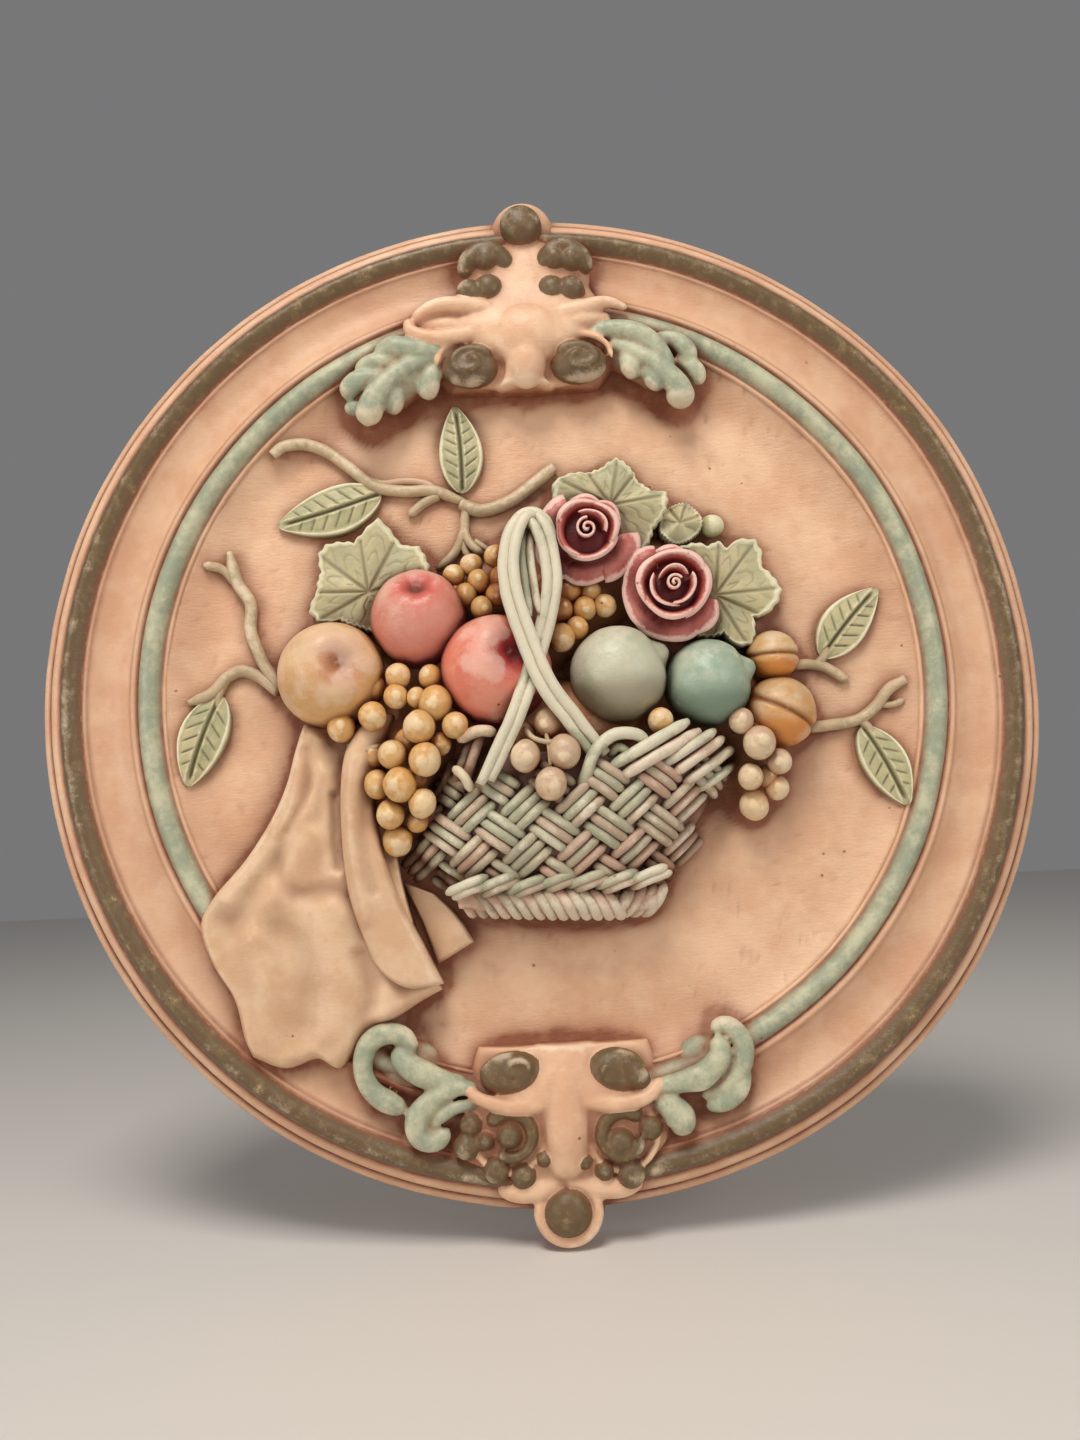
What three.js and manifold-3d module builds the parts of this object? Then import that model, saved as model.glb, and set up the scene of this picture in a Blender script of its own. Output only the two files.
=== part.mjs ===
// Round wall plaque, one casting: moulded frame, fruit basket in high relief, crest and pendant ornament.
// Lengths in mm. x runs right, z runs up, and h is the height above the flat back, towards -Y.
import * as THREE from "three";
import { mergeVertices } from "three/addons/utils/BufferGeometryUtils.js";
import Module from "manifold-3d";

const wasm = await Module();
wasm.setup();

const RIM_RADIUS = 225;
const RIM_SEGMENTS = 54;
const COVE_OUTSIDE = 182;
const FLOOR = 8;
const WEAVE_PITCH_X = 22.5;
const WEAVE_PITCH_Z = 19.5;
const STRAND = 2.1;
const MOST_FACES = 9900;
const TAU = 2 * Math.PI;

// Section of the frame as radius and height: edge band, two reeds, outer bead, cove, inner bead, field.
const SECTION = [
  [0, 0],
  [RIM_RADIUS - 1.5, 0],
  [RIM_RADIUS, 3],
  [RIM_RADIUS - 0.2, 9],
  [222.4, 11.4],
  [220.4, 15],
  [217.4, 15.4],
  [215.6, 19.4],
  [212.2, 20],
  [209.8, 25.4],
  [204.6, 25.6],
  [201.4, 21.2],
  [194, 18.4],
  [187, 19],
  [180.2, 22.8],
  [178.2, 21.4],
  [175, 24.7],
  [170.8, 24.2],
  [168, 20.4],
  [160.5, 15],
  [151, 12.6],
  [0, 12.6],
];

const at = (x, z, h) => new THREE.Vector3(x, -h, z);
const mix = (a, b, t) => a + (b - a) * t;

/** Height of the plain frame or field under x, z. */
function ground(x, z) {
  const radius = Math.hypot(x, z);
  const k = SECTION.findLastIndex(([r]) => r > radius);
  const [outer, inner] = [SECTION[k], SECTION[k + 1]];
  return mix(inner[1], outer[1], (radius - inner[0]) / (outer[0] - inner[0]));
}

/** Turns a three.js geometry into a closed solid. */
function solid(geometry) {
  geometry.deleteAttribute("normal");
  geometry.deleteAttribute("uv");
  const merged = mergeVertices(geometry, 1e-3);
  const triangles = [];
  for (let i = 0; i < merged.index.count; i += 3) {
    const [a, b, c] = merged.index.array.slice(i, i + 3);
    if (a !== b && b !== c && c !== a) triangles.push(a, b, c);
  }
  return new wasm.Manifold(
    new wasm.Mesh({
      numProp: 3,
      vertProperties: new Float32Array(merged.attributes.position.array),
      triVerts: new Uint32Array(triangles),
    }),
  );
}

/** Builds an indexed geometry from points and triangles. */
function mesh(points, triangles) {
  const geometry = new THREE.BufferGeometry().setFromPoints(points);
  geometry.setIndex(triangles);
  return geometry;
}

/**
 * A rounded boss at x, z with its widest ring at height h, half-sizes rx, rz and rise rh above it,
 * standing on a straight foot that goes down to the plaque's own thickness.
 */
function dome(x, z, h, rx, rz = rx, rh = rx, { sides = 8, rings = 2, roll = 0, foot = FLOOR } = {}) {
  const points = [at(x, z, foot), at(x, z, h + rh)];
  const triangles = [];
  for (let ring = -1; ring < rings; ring += 1) {
    const rise = (Math.max(ring, 0) * Math.PI) / (2 * rings);
    for (let j = 0; j < sides; j += 1) {
      const angle = (TAU * (j + 0.5 * Math.max(ring, 0))) / sides;
      const [dx, dz] = [rx * Math.cos(rise) * Math.cos(angle), rz * Math.cos(rise) * Math.sin(angle)];
      const [px, pz] = [dx * Math.cos(roll) - dz * Math.sin(roll), dz * Math.cos(roll) + dx * Math.sin(roll)];
      points.push(at(x + px, z + pz, ring < 0 ? foot : h + rh * Math.sin(rise)));
    }
  }
  for (let j = 0; j < sides; j += 1) {
    const next = (j + 1) % sides;
    const top = 2 + rings * sides;
    triangles.push(0, 2 + next, 2 + j, 1, top + j, top + next);
    for (let ring = 0; ring < rings; ring += 1) {
      const a = 2 + ring * sides;
      triangles.push(a + j, a + next, a + sides + j, a + sides + j, a + next, a + sides + next);
    }
  }
  return solid(mesh(points, triangles));
}

/** A strand along points, on a keel down to the plaque's own thickness; its radius may change along it. */
function strand(path, radius, steps = 6) {
  const curve = new THREE.CatmullRomCurve3(path.map((p) => at(...p)));
  const widthAt = typeof radius === "function" ? radius : () => radius;
  const section = [[1, 0], [0.55, 0.9], [-0.55, 0.9], [-1, 0]];
  const sides = section.length + 1;
  const points = [];
  const triangles = [];
  for (let i = 0; i <= steps; i += 1) {
    const t = i / steps;
    const along = curve.getTangentAt(t);
    const front = at(0, 0, 1).addScaledVector(along, along.y).normalize();
    const side = new THREE.Vector3().crossVectors(along, front);
    for (const [across, up] of section) {
      const point = curve.getPointAt(t).addScaledVector(side, across * widthAt(t));
      points.push(point.addScaledVector(front, up * widthAt(t)));
    }
    const keel = curve.getPointAt(t);
    points.push(keel.setY(-FLOOR));
  }
  for (let i = 0; i < steps; i += 1) {
    for (let j = 0; j < sides; j += 1) {
      const a = i * sides + j;
      const b = i * sides + ((j + 1) % sides);
      triangles.push(a, a + sides, b, b, a + sides, b + sides);
    }
  }
  const tips = [-1, 1].map((end) => {
    const t = end < 0 ? 0 : 1;
    const tip = curve.getPointAt(t).addScaledVector(curve.getTangentAt(t), 0.6 * end * widthAt(t));
    return points.push(tip) - 1;
  });
  const last = steps * sides;
  for (let j = 0; j < sides; j += 1) {
    const next = (j + 1) % sides;
    triangles.push(tips[0], j, next, tips[1], last + next, last + j);
  }
  return solid(mesh(points, triangles));
}

/** A relief patch: surface(u, v) gives [x, z, h] on a grid, v turned left of u, closed to a flat floor. */
function patch(surface, across, along, floor = FLOOR) {
  const points = [];
  const triangles = [];
  const row = across + 1;
  const count = row * (along + 1);
  for (const under of [false, true]) {
    for (let j = 0; j <= along; j += 1) {
      for (let i = 0; i <= across; i += 1) {
        const [x, z, h] = surface(i / across, j / along);
        points.push(at(x, z, under ? floor : h));
      }
    }
  }
  for (let j = 0; j < along; j += 1) {
    for (let i = 0; i < across; i += 1) {
      const a = j * row + i;
      triangles.push(a, a + 1, a + row, a + 1, a + row + 1, a + row);
      const c = a + count;
      triangles.push(c, c + row, c + 1, c + 1, c + row, c + row + 1);
    }
  }
  const edge = [];
  for (let i = 0; i < across; i += 1) edge.push(i);
  for (let j = 0; j < along; j += 1) edge.push(j * row + across);
  for (let i = across; i > 0; i -= 1) edge.push(along * row + i);
  for (let j = along; j > 0; j -= 1) edge.push(j * row);
  edge.forEach((a, k) => {
    const b = edge[(k + 1) % edge.length];
    triangles.push(a, a + count, b, b, a + count, b + count);
  });
  return solid(mesh(points, triangles));
}

const curveThrough = (pairs) => {
  const curve = new THREE.CatmullRomCurve3(pairs.map(([x, z]) => new THREE.Vector3(x, 0, z)));
  return (t) => curve.getPoint(Math.min(Math.max(t, 0), 1));
};

/** The frame and the field: a turned section, with the slight bulge of the hand-made rim. */
function frameBody() {
  const lathe = new THREE.LatheGeometry(SECTION.map(([r, h]) => new THREE.Vector2(r, h)), RIM_SEGMENTS);
  lathe.rotateX(Math.PI);
  const position = lathe.attributes.position;
  for (let i = 0; i < position.count; i += 1) {
    const [x, z] = [position.getX(i), position.getZ(i)];
    const radius = Math.hypot(x, z);
    if (radius < COVE_OUTSIDE) continue;
    const turn = Math.atan2(x, z);
    const bump = (centre, width) => Math.exp((Math.cos(turn - centre) - 1) / width);
    const bulge = 2.4 * bump(0.75 * Math.PI, 0.09) - 1.2 * bump(0.44 * Math.PI, 0.03);
    position.setX(i, x * (1 + bulge / radius));
    position.setZ(i, z * (1 + bulge / radius));
  }
  return [solid(lathe)];
}

// x, z, h of the centre, radius across, radius in depth.
const FRUITS = [
  [-93, 9, 24, 23.6, 22],
  [-54, 32, 24, 21.3, 21],
  [-21, 7, 30, 24.4, 23],
  [32, 3, 29, 21.4, 21],
  [71, -2, 26, 19.3, 20],
  [101, 9, 22, 11.4, 13],
  [102, -16, 24, 16, 16],
];

// x, z, h of the hollow in each apple.
const CALYXES = [
  [-86, 12, 46],
  [-53, 44, 42],
  [-13, 13, 51],
];

/** The apples with their hollows, the plums with their points and the two small fruits. */
function fruits() {
  const bodies = FRUITS.map(([x, z, h, r, deep]) => dome(x, z, h, r, r, deep, { sides: 14, rings: 4 }));
  const hollowed = CALYXES.map(([x, z, h], i) => {
    const cone = new THREE.ConeGeometry(6, 10, 7).translate(x, -h, z);
    return bodies[i].subtract(solid(cone));
  });
  const points = [
    strand([[46, 10, 34], [55, 15, 33]], (t) => 6 - 5 * t, 2),
    strand([[82, 2, 30], [90, 5, 28]], (t) => 6 - 5 * t, 2),
  ];
  return [...hollowed, ...bodies.slice(CALYXES.length), ...points];
}

// x, z, h, radius. The clusters hang left, in front, behind the handle, and right of the basket.
const GRAPES = [
  [-88, -15, 32, 6],
  [-74, -11, 36, 6],
  [-63, 6, 34, 5.5],
  [-49, 5, 34, 5.1],
  [-64, -3, 36, 5.2],
  [-55, -4, 37, 4.2],
  [-47, -7, 38, 7.2],
  [-54, -17, 41, 6.8],
  [-39, -17, 40, 5.5],
  [-66, -28, 38, 6],
  [-52, -31, 42, 6.8],
  [-73, -40, 34, 6],
  [-63, -41, 40, 7.2],
  [-54, -49, 39, 6],
  [-68, -53, 35, 6],
  [-66, -64, 29, 6.4],
  [0, -18, 44, 6.2],
  [-10, -32, 49, 6.4],
  [6, -31, 49, 7],
  [0, -44, 51, 6.8],
  [48, -19, 38, 5.5],
  [83, -20, 34, 5.4],
  [90, -30, 35, 6.9],
  [99, -38, 30, 5.4],
  [86, -44, 31, 5.4],
  [98, -49, 26, 5.4],
  [88, -56, 25, 6.4],
  [-19, 59, 25, 5],
  [-30, 56, 23, 5],
  [-38, 51, 24, 5],
  [-27, 48, 26, 5],
  [-17, 49, 27, 5],
  [-33, 42, 27, 5],
  [-19, 41, 28, 5],
  [-26, 35, 29, 5],
  [5, 54, 25, 5],
  [4, 44, 27, 5],
  [13, 42, 27, 5],
  [9, 33, 28, 5],
  [19, 33, 28, 5.2],
  [28, 34, 28, 5],
  [8, 20, 32, 6],
];

/** Every grape, each rolled a little differently. */
function grapes() {
  return GRAPES.map(([x, z, h, r], i) => dome(x, z, h, r, r * 1.05, r, { sides: 7, roll: i }));
}

/** A pointed leaf with a raised midrib between two hollows. */
function leaf([x0, z0], [x1, z1], halfWidth, lift = 5) {
  const [dx, dz] = [x1 - x0, z1 - z0];
  const length = Math.hypot(dx, dz);
  return patch(
    (u, v) => {
      const across = 2 * u - 1;
      const width = 0.5 + halfWidth * Math.sin(Math.PI * v ** 0.85) ** 0.75 * (1 - 0.25 * v);
      const s = (width * across) / length;
      const [x, z] = [x0 + dx * v + dz * s, z0 + dz * v - dx * s];
      const swell = lift * Math.sin(Math.PI * v) ** 0.6 * (1 - 0.5 * across ** 2);
      return [x, z, ground(x, z) + 1 + swell + (across === 0 ? -1.4 : 0)];
    },
    4,
    7,
  );
}

/** The five plain leaves on the twigs. */
function plainLeaves() {
  return [
    leaf([-72, 93], [-115, 80], 12),
    leaf([-33, 91], [-35, 132], 10.5),
    leaf([-142, 6], [-156, -35], 10.5),
    leaf([124, 7], [151, 37], 11),
    leaf([140, -21], [155, -57], 9.5),
  ];
}

/** A lobed vine leaf: tips is a list of [angle in degrees, length] round the stalk end at x, z. */
function vineLeaf(x, z, h, tips) {
  const rings = 3;
  const steps = 4;
  const turns = steps * tips.length;
  const outline = (k) => {
    const tip = Math.floor(k / steps) % tips.length;
    const [angle, length] = tips[tip];
    const [nextAngle, nextLength] = tips[(tip + 1) % tips.length];
    const t = (k % steps) / steps;
    const gap = (nextAngle - angle + 360) % 360;
    return [angle + gap * t, mix(length, nextLength, t) * (1 - 0.2 * Math.sin(Math.PI * t) ** 2)];
  };
  const rim = (k, reach, height) => {
    const [angle, length] = outline(k);
    const turn = THREE.MathUtils.degToRad(angle);
    return at(x + reach * length * Math.cos(turn), z + reach * length * Math.sin(turn), height);
  };
  const points = [at(x, z, h), at(x, z, FLOOR)];
  const triangles = [];
  for (let ring = 1; ring <= rings; ring += 1) {
    for (let k = 0; k < turns; k += 1) {
      const vein = k % steps === 0 ? -0.7 : 0.7;
      points.push(rim(k, ring / rings, h + (ring < rings ? vein : -2.2)));
    }
  }
  for (let k = 0; k < turns; k += 1) points.push(rim(k, 1, FLOOR));
  for (let k = 0; k < turns; k += 1) {
    const next = (k + 1) % turns;
    triangles.push(0, 2 + k, 2 + next, 1, 2 + rings * turns + next, 2 + rings * turns + k);
    for (let ring = 0; ring < rings; ring += 1) {
      const a = 2 + ring * turns + k;
      const b = 2 + ring * turns + next;
      triangles.push(a, a + turns, b, b, a + turns, b + turns);
    }
  }
  return solid(mesh(points, triangles));
}

// Direction in degrees and length of each lobe of the vine leaves.
const VINE_TIPS = {
  left: [[10, 26], [62, 34], [97, 29], [140, 31], [178, 22], [207, 25], [250, 14], [310, 20]],
  top: [[5, 25], [45, 24], [82, 22], [130, 22], [165, 28], [215, 18], [300, 20], [330, 20]],
  right: [[2, 29], [48, 33], [82, 25], [120, 22], [160, 12], [250, 15], [300, 26], [335, 27]],
};

/** The three vine leaves and the two buds beside them. */
function vineLeaves() {
  return [
    vineLeaf(-76, 48, 22, VINE_TIPS.left),
    vineLeaf(34, 80, 24, VINE_TIPS.top),
    vineLeaf(77, 38, 24, VINE_TIPS.right),
    dome(64, 72, 19, 9.5, 8, 5),
    dome(79, 71, 18, 5.4),
  ];
}

/** A ring of petals round x, z: a dished disc whose edge waves with the petals. */
function petals(x, z, h, radius, count, dish) {
  const rings = [[0.45, -dish], [0.9, -0.5], [1, -2]];
  const turns = 2 * count;
  const points = [at(x, z, FLOOR), at(x, z, h - dish)];
  const triangles = [];
  for (let ring = -1; ring < rings.length; ring += 1) {
    const [reach, drop] = ring < 0 ? [1, FLOOR - h] : rings[rings.length - 1 - ring];
    for (let k = 0; k < turns; k += 1) {
      const angle = (TAU * (k + 0.3 * count)) / turns;
      const wave = reach * radius * (k % 2 === 0 ? 1.04 : 0.9);
      const lift = ring === 1 ? (k % 2) - 0.5 : 0;
      points.push(at(x + wave * Math.cos(angle), z + wave * Math.sin(angle), h + drop + lift));
    }
  }
  for (let k = 0; k < turns; k += 1) {
    const next = (k + 1) % turns;
    const top = 2 + rings.length * turns;
    triangles.push(0, 2 + next, 2 + k, 1, top + k, top + next);
    for (let ring = 0; ring < rings.length; ring += 1) {
      const a = 2 + ring * turns;
      triangles.push(a + k, a + next, a + turns + k, a + turns + k, a + next, a + turns + next);
    }
  }
  return solid(mesh(points, triangles));
}

/** A rose: spread outer petals, two cupped rings of petals and a rolled heart. */
function rose(x, z, h, radius, heart) {
  const [hx, hz] = heart;
  return [
    petals(x, z, h, radius, 5, 3),
    petals(x + 0.4 * hx, z + 0.4 * hz, h + 7, radius * 0.66, 4, 6),
    petals(x + 0.8 * hx, z + 0.8 * hz, h + 9, radius * 0.42, 3, 4),
    dome(x + hx, z + hz, h + 6, radius * 0.17, radius * 0.17, 5, { sides: 6 }),
  ];
}

/** Both roses. */
function roses() {
  return [...rose(21, 65, 35, 22, [-1, 1]), ...rose(55, 39, 36, 21.5, [2, 1])];
}

/** The twigs: a forked one at the top, an arched one at the left, two at the right. */
function twigs() {
  const line = (pairs, radius, steps = 8) =>
    strand(pairs.map(([x, z, lift = 0]) => [x, z, ground(x, z) + 2.9 + lift]), radius, steps);
  return [
    line([[-115, 113], [-105, 115], [-94, 111], [-85, 105], [-72, 95], [-52, 93], [-33, 87]], 2.7, 10),
    line([[-46, 90], [-58, 83]], 2.2, 2),
    line([[-34, 87], [-21, 85], [-9, 88], [9, 101]], 2.9, 6),
    line([[-31, 88], [-33, 78], [-45, 56]], 2.3, 5),
    line([[-33, 80], [-30, 68], [-24, 61, 4]], 2, 4),
    line([[-139, 68], [-135, 53], [-130, 39], [-130, 23], [-117, 5]], 2.8, 8),
    line([[-149, 62], [-138, 58]], 2.2, 2),
    line([[-119, 4], [-129, 13], [-138, 14], [-148, 5], [-159, 1]], 2.6, 8),
    line([[110, 6], [124, 5], [136, -2]], 2.5, 4),
    line([[114, -23], [141, -20], [155, -8], [161, -3]], 2.6, 7),
  ];
}

/** A bulged body through rows of [z, left, right, edge height, middle height], from the top down. */
function loft(rows, across, along) {
  return patch(
    (u, v) => {
      const place = v * (rows.length - 1);
      const k = Math.min(Math.floor(place), rows.length - 2);
      const [z, left, right, edge, middle] = rows[k].map((value, i) => mix(value, rows[k + 1][i], place - k));
      return [mix(right, left, (1 - Math.cos(Math.PI * u)) / 2), z, mix(edge, middle, Math.sin(Math.PI * u))];
    },
    across,
    along,
  );
}

// Height of the basket, its left and right edge and how far its front stands out.
const BASKET = [
  [-90, -39, 44, 33],
  [-80, -47, 52, 40],
  [-68, -59, 62, 45],
  [-56, -58, 70, 48],
  [-44, -50, 79, 49],
  [-32, -44, 84, 48],
];

/** Left edge, right edge and front height of the basket at a height z. */
function basketAt(z) {
  const clamped = Math.min(Math.max(z, BASKET[0][0]), BASKET.at(-1)[0]);
  const k = Math.max(1, BASKET.findIndex((row) => clamped <= row[0]));
  const [low, high] = [BASKET[k - 1], BASKET[k]];
  const t = (clamped - low[0]) / (high[0] - low[0]);
  return [1, 2, 3].map((i) => mix(low[i], high[i], t));
}

/** Height of the basket's front at x, z. */
function basketFront(x, z) {
  const [left, right, front] = basketAt(z);
  const s = Math.min(Math.abs((2 * x - left - right) / (right - left)), 1);
  return mix(14, front, Math.sqrt(1 - s * s));
}

/** One crossing of the weave: three strands side by side, arched over the strands below. */
function crossing(x, z, slope, length) {
  const turn = THREE.MathUtils.degToRad(slope);
  const [ax, az] = [Math.cos(turn), Math.sin(turn)];
  return patch(
    (u, v) => {
      const step = Math.round(u * 6);
      const s = (step - 3) * STRAND;
      const d = (v - 0.5) * length;
      const [px, pz] = [x + ax * d + az * s, z + az * d - ax * s];
      const lift = (step % 2 === 0 ? -1.4 : 0.6) + (v === 0.5 ? 1.6 : -1);
      return [px, pz, basketFront(px, pz) + lift];
    },
    6,
    2,
    16,
  );
}

/** The basket: bowl, woven crossings, plaited rows at the foot and wrapped strands at the rim. */
function basket() {
  const rows = BASKET.map(([z, left, right, front]) => [z, left, right, 14, front - 1.5]).reverse();
  const parts = [loft(rows, 10, 5)];
  for (let row = 0; row < 4; row += 1) {
    const rising = row % 2 === 0;
    const z = -53 - (row * WEAVE_PITCH_Z) / 2;
    const [left, right] = basketAt(z);
    for (let column = -2; column <= 3; column += 1) {
      const x = (rising ? 11.5 : 0.5) + column * WEAVE_PITCH_X;
      if (x > left + 3 && x < right - 3) parts.push(crossing(x, z, rising ? 40 : -36, 17));
    }
  }
  for (const x of [-22, 23, 45]) parts.push(crossing(x, -43, -36, 15));
  const rim = [
    [[26, -39], [59, -21]],
    [[30, -43], [64, -25]],
    [[48, -39], [71, -25]],
    [[52, -43], [77, -29]],
    [[62, -46], [83, -34]],
    [[-37, -40], [-29, -20]],
    [[-42, -41], [-34, -24]],
  ];
  for (const [[x0, z0], [x1, z1]] of rim) {
    const [xm, zm] = [(x0 + x1) / 2, (z0 + z1) / 2];
    const bowed = ([x, z], i) => [x, z, basketFront(x, z) + (i === 1 ? 4 : 0)];
    const path = [[x0, z0], [xm, zm], [x1, z1]].map(bowed);
    parts.push(strand(path, STRAND * 1.15, 3));
  }
  const arch = [[15, -41, 46], [18, -31, 49], [27, -24, 49], [39, -25, 46]];
  parts.push(strand(arch, STRAND * 1.2, 5));
  parts.push(strand([[-40, -90, 27], [2, -92, 31], [42, -94, 27]], 7.4, 6));
  for (let k = 0; k < 11; k += 1) {
    const x = -35 + k * 7.4;
    const z = -90.5 - k * 0.4;
    const tilt = k > 8 ? -1 : 1;
    const path = [[x - 4, z + 6.5 * tilt, 31], [x, z, 37.5], [x + 4, z - 6.5 * tilt, 31]];
    parts.push(strand(path, 3.3, 2));
  }
  for (const x of [-30, -12, 8, 30]) {
    parts.push(strand([[x - 9, -84.5, 38], [x, -81.5, 44], [x + 9, -80.5, 38]], 3.2, 2));
  }
  return parts;
}

/** The handle: two hoops, each of two strands laid side by side, crossing below the top. */
function handle() {
  const front = [
    [-3, 70, 44],
    [-11, 58, 48],
    [-13, 43, 50],
    [-9, 24, 52],
    [0, -2, 53],
    [11, -18, 50],
    [19, -29, 46],
  ];
  const back = [
    [-3, 69, 42],
    [2, 54, 44],
    [4, 38, 45],
    [0, 22, 44],
    [-6, 3, 48],
    [-12, -14, 50],
    [-26, -38, 47],
  ];
  const beside = (path, offset, lift) => path.map(([x, z, h]) => [x + offset, z + offset * 0.3, h + lift]);
  return [
    strand(beside(front, -1.8, 0), STRAND, 9),
    strand(beside(front, 1.9, 0.8), STRAND, 9),
    strand(beside(back, -1.8, 0.4), STRAND, 9),
    strand(beside(back, 1.9, 0), STRAND, 9),
    strand([[-3, 66, 41], [-5, 52, 42], [-4, 38, 43], [-3, 26, 46]], 3.4, 5),
    dome(-3, 70, 40, 6, 3.6, 6),
  ];
}

/** A surface patch between four border curves, each running in the direction of growing u or v. */
function coons(top, bottom, left, right) {
  return (u, v) => {
    const sum = new THREE.Vector3();
    const add = (point, weight) => sum.addScaledVector(point, weight);
    add(top(u), 1 - v);
    add(bottom(u), v);
    add(left(v), 1 - u);
    add(right(v), u);
    add(top(0), -(1 - u) * (1 - v));
    add(top(1), -u * (1 - v));
    add(bottom(0), -(1 - u) * v);
    add(bottom(1), -u * v);
    return sum;
  };
}

/** The cloth: a wide fall, the folded strip in front of it and the small flap behind. */
function cloth() {
  const spread = coons(
    curveThrough([[-104, -12], [-88, -14], [-66, -12]]),
    curveThrough([[-129, -153], [-117, -157], [-103, -154], [-93, -158], [-84, -147], [-66, -137]]),
    curveThrough([[-104, -12], [-113, -34], [-132, -68], [-152, -96], [-138, -126], [-129, -153]]),
    curveThrough([[-66, -12], [-72, -48], [-64, -90], [-66, -137]]),
  );
  const strip = coons(
    curveThrough([[-84, -16], [-64, -12]]),
    curveThrough([[-80, -116], [-66, -125], [-49, -126]]),
    curveThrough([[-84, -16], [-91, -48], [-88, -88], [-80, -116]]),
    curveThrough([[-64, -12], [-74, -48], [-62, -88], [-49, -126]]),
  );
  const fall = (u, v) => {
    const { x, z } = spread(u, v);
    const folds = 3 * v ** 0.6 * Math.cos(TAU * (2.6 * u + 0.25 * v));
    const sag = 1.2 * Math.cos(TAU * (1.1 * u - 0.9 * v));
    const hem = Math.min(1, 6 * u, 6 * (1 - v), 6 * (1 - u) + 0.4);
    return [x, z, mix(22, 29 - 2 * v + folds + sag, hem)];
  };
  const front = (u, v) => {
    const { x, z } = strip(u, v);
    return [x, z, 27 + 8 * (1 - 0.45 * v) * Math.sin(Math.PI * (0.12 + 0.76 * u)) ** 0.8];
  };
  const flap = (u, v) => {
    const [x, z] = [mix(-38, -62, u) + 6 * v - 3, mix(-108, -80, u) - 11 * v];
    return [x, z, 15 + 5 * Math.sin(Math.PI * v)];
  };
  return [patch((u, v) => fall(1 - u, v), 11, 7), patch((u, v) => front(1 - u, v), 3, 5), patch(flap, 2, 2)];
}

/** A curled strand that winds in from its start: centre x, z, size, turns and start angle in degrees. */
function volute(x, z, h, size, turns, start, radius, flatten = 1) {
  const path = [];
  const count = Math.ceil(turns * 6);
  for (let k = 0; k <= count; k += 1) {
    const angle = THREE.MathUtils.degToRad(start) + (Math.sign(size) * TAU * turns * k) / count;
    const reach = Math.abs(size) * (1 - (0.72 * k) / count);
    path.push([x + reach * Math.cos(angle), z + flatten * reach * Math.sin(angle), h + (2 * k) / count]);
  }
  return strand(path, (t) => radius * (1 - 0.25 * t), count);
}

/** The crest: a boss in a cap, two clusters, a waisted body, scrolls and acanthus to both sides. */
function crest() {
  const body = [
    [216, -14, 14, 14, 20],
    [206, -18, 19, 17, 26],
    [196, -28, 28, 23, 29],
    [184, -29, 31, 22, 30],
    [175, -34, 38, 21, 31],
    [166, -44, 40, 21, 33],
    [158, -30, 26, 24, 34],
    [150, -13, 8, 29, 34],
    [143, -12, 6, 28, 32],
    [138, -16, 12, 26, 29],
  ];
  const parts = [
    loft(body, 6, 9),
    dome(0, 217, 12, 15.5, 15, 15, { sides: 12, rings: 3, foot: 0 }),
    dome(-1, 213, 27, 9, 9, 5.5, { sides: 12 }),
  ];
  for (const [x, z, r] of [
    [-25, 195, 5],
    [-17, 198, 5],
    [-9, 194, 4.5],
    [-26, 184, 5.5],
    [-17, 182, 5.5],
    [6, 191, 4.5],
    [14, 197, 5],
    [23, 195, 5.5],
    [12, 180, 5],
    [21, 182, 5.5],
  ]) {
    parts.push(dome(x, z, 27, r + 0.5, r, 6.5, { sides: 7 }));
  }
  parts.push(strand([[-20, 170, 29], [-36, 175, 28], [-52, 168, 24]], 3.8, 5));
  parts.push(strand([[-52, 167, 24], [-42, 159, 27], [-22, 160, 30]], 3.8, 5));
  parts.push(strand([[14, 165, 30], [28, 169, 29], [43, 170, 25]], 4.4, 5));
  parts.push(volute(-27, 148, 31, 11, 1, 20, 4.2, 0.8));
  parts.push(volute(23, 148, 31, -11, 1, 160, 4.2, 0.8));
  parts.push(dome(-27, 148, 25, 11, 8.5, 7), dome(23, 148, 25, 11, 8.5, 7));
  parts.push(strand([[26, 161, 26], [43, 162, 27], [56, 155, 27], [64, 142, 26]], 5));
  parts.push(strand([[38, 155, 26], [52, 148, 29], [64, 136, 28]], 4.5, 5));
  parts.push(strand([[-36, 155, 26], [-50, 154, 28], [-62, 145, 28], [-73, 130, 26]], 5));
  for (const [x, z, rx, rz, roll] of [
    [71, 151, 6, 5.5, 0],
    [46, 144, 4.5, 6.5, 0],
    [56, 138, 4.5, 6, 0],
    [76, 140, 6, 5.5, 0],
    [70, 130, 7.5, 8, 0],
    [-60, 155, 10, 6, 0.2],
    [-74, 148, 6, 5, 0],
    [-82, 138, 7, 7, 0],
    [-74, 123, 8, 8.5, 0],
    [-60, 134, 4.5, 10, 0.3],
    [-46, 141, 5, 10, 0],
  ]) {
    parts.push(dome(x, z, 22, rx, rz, 8, { roll }));
  }
  return parts;
}

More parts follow.
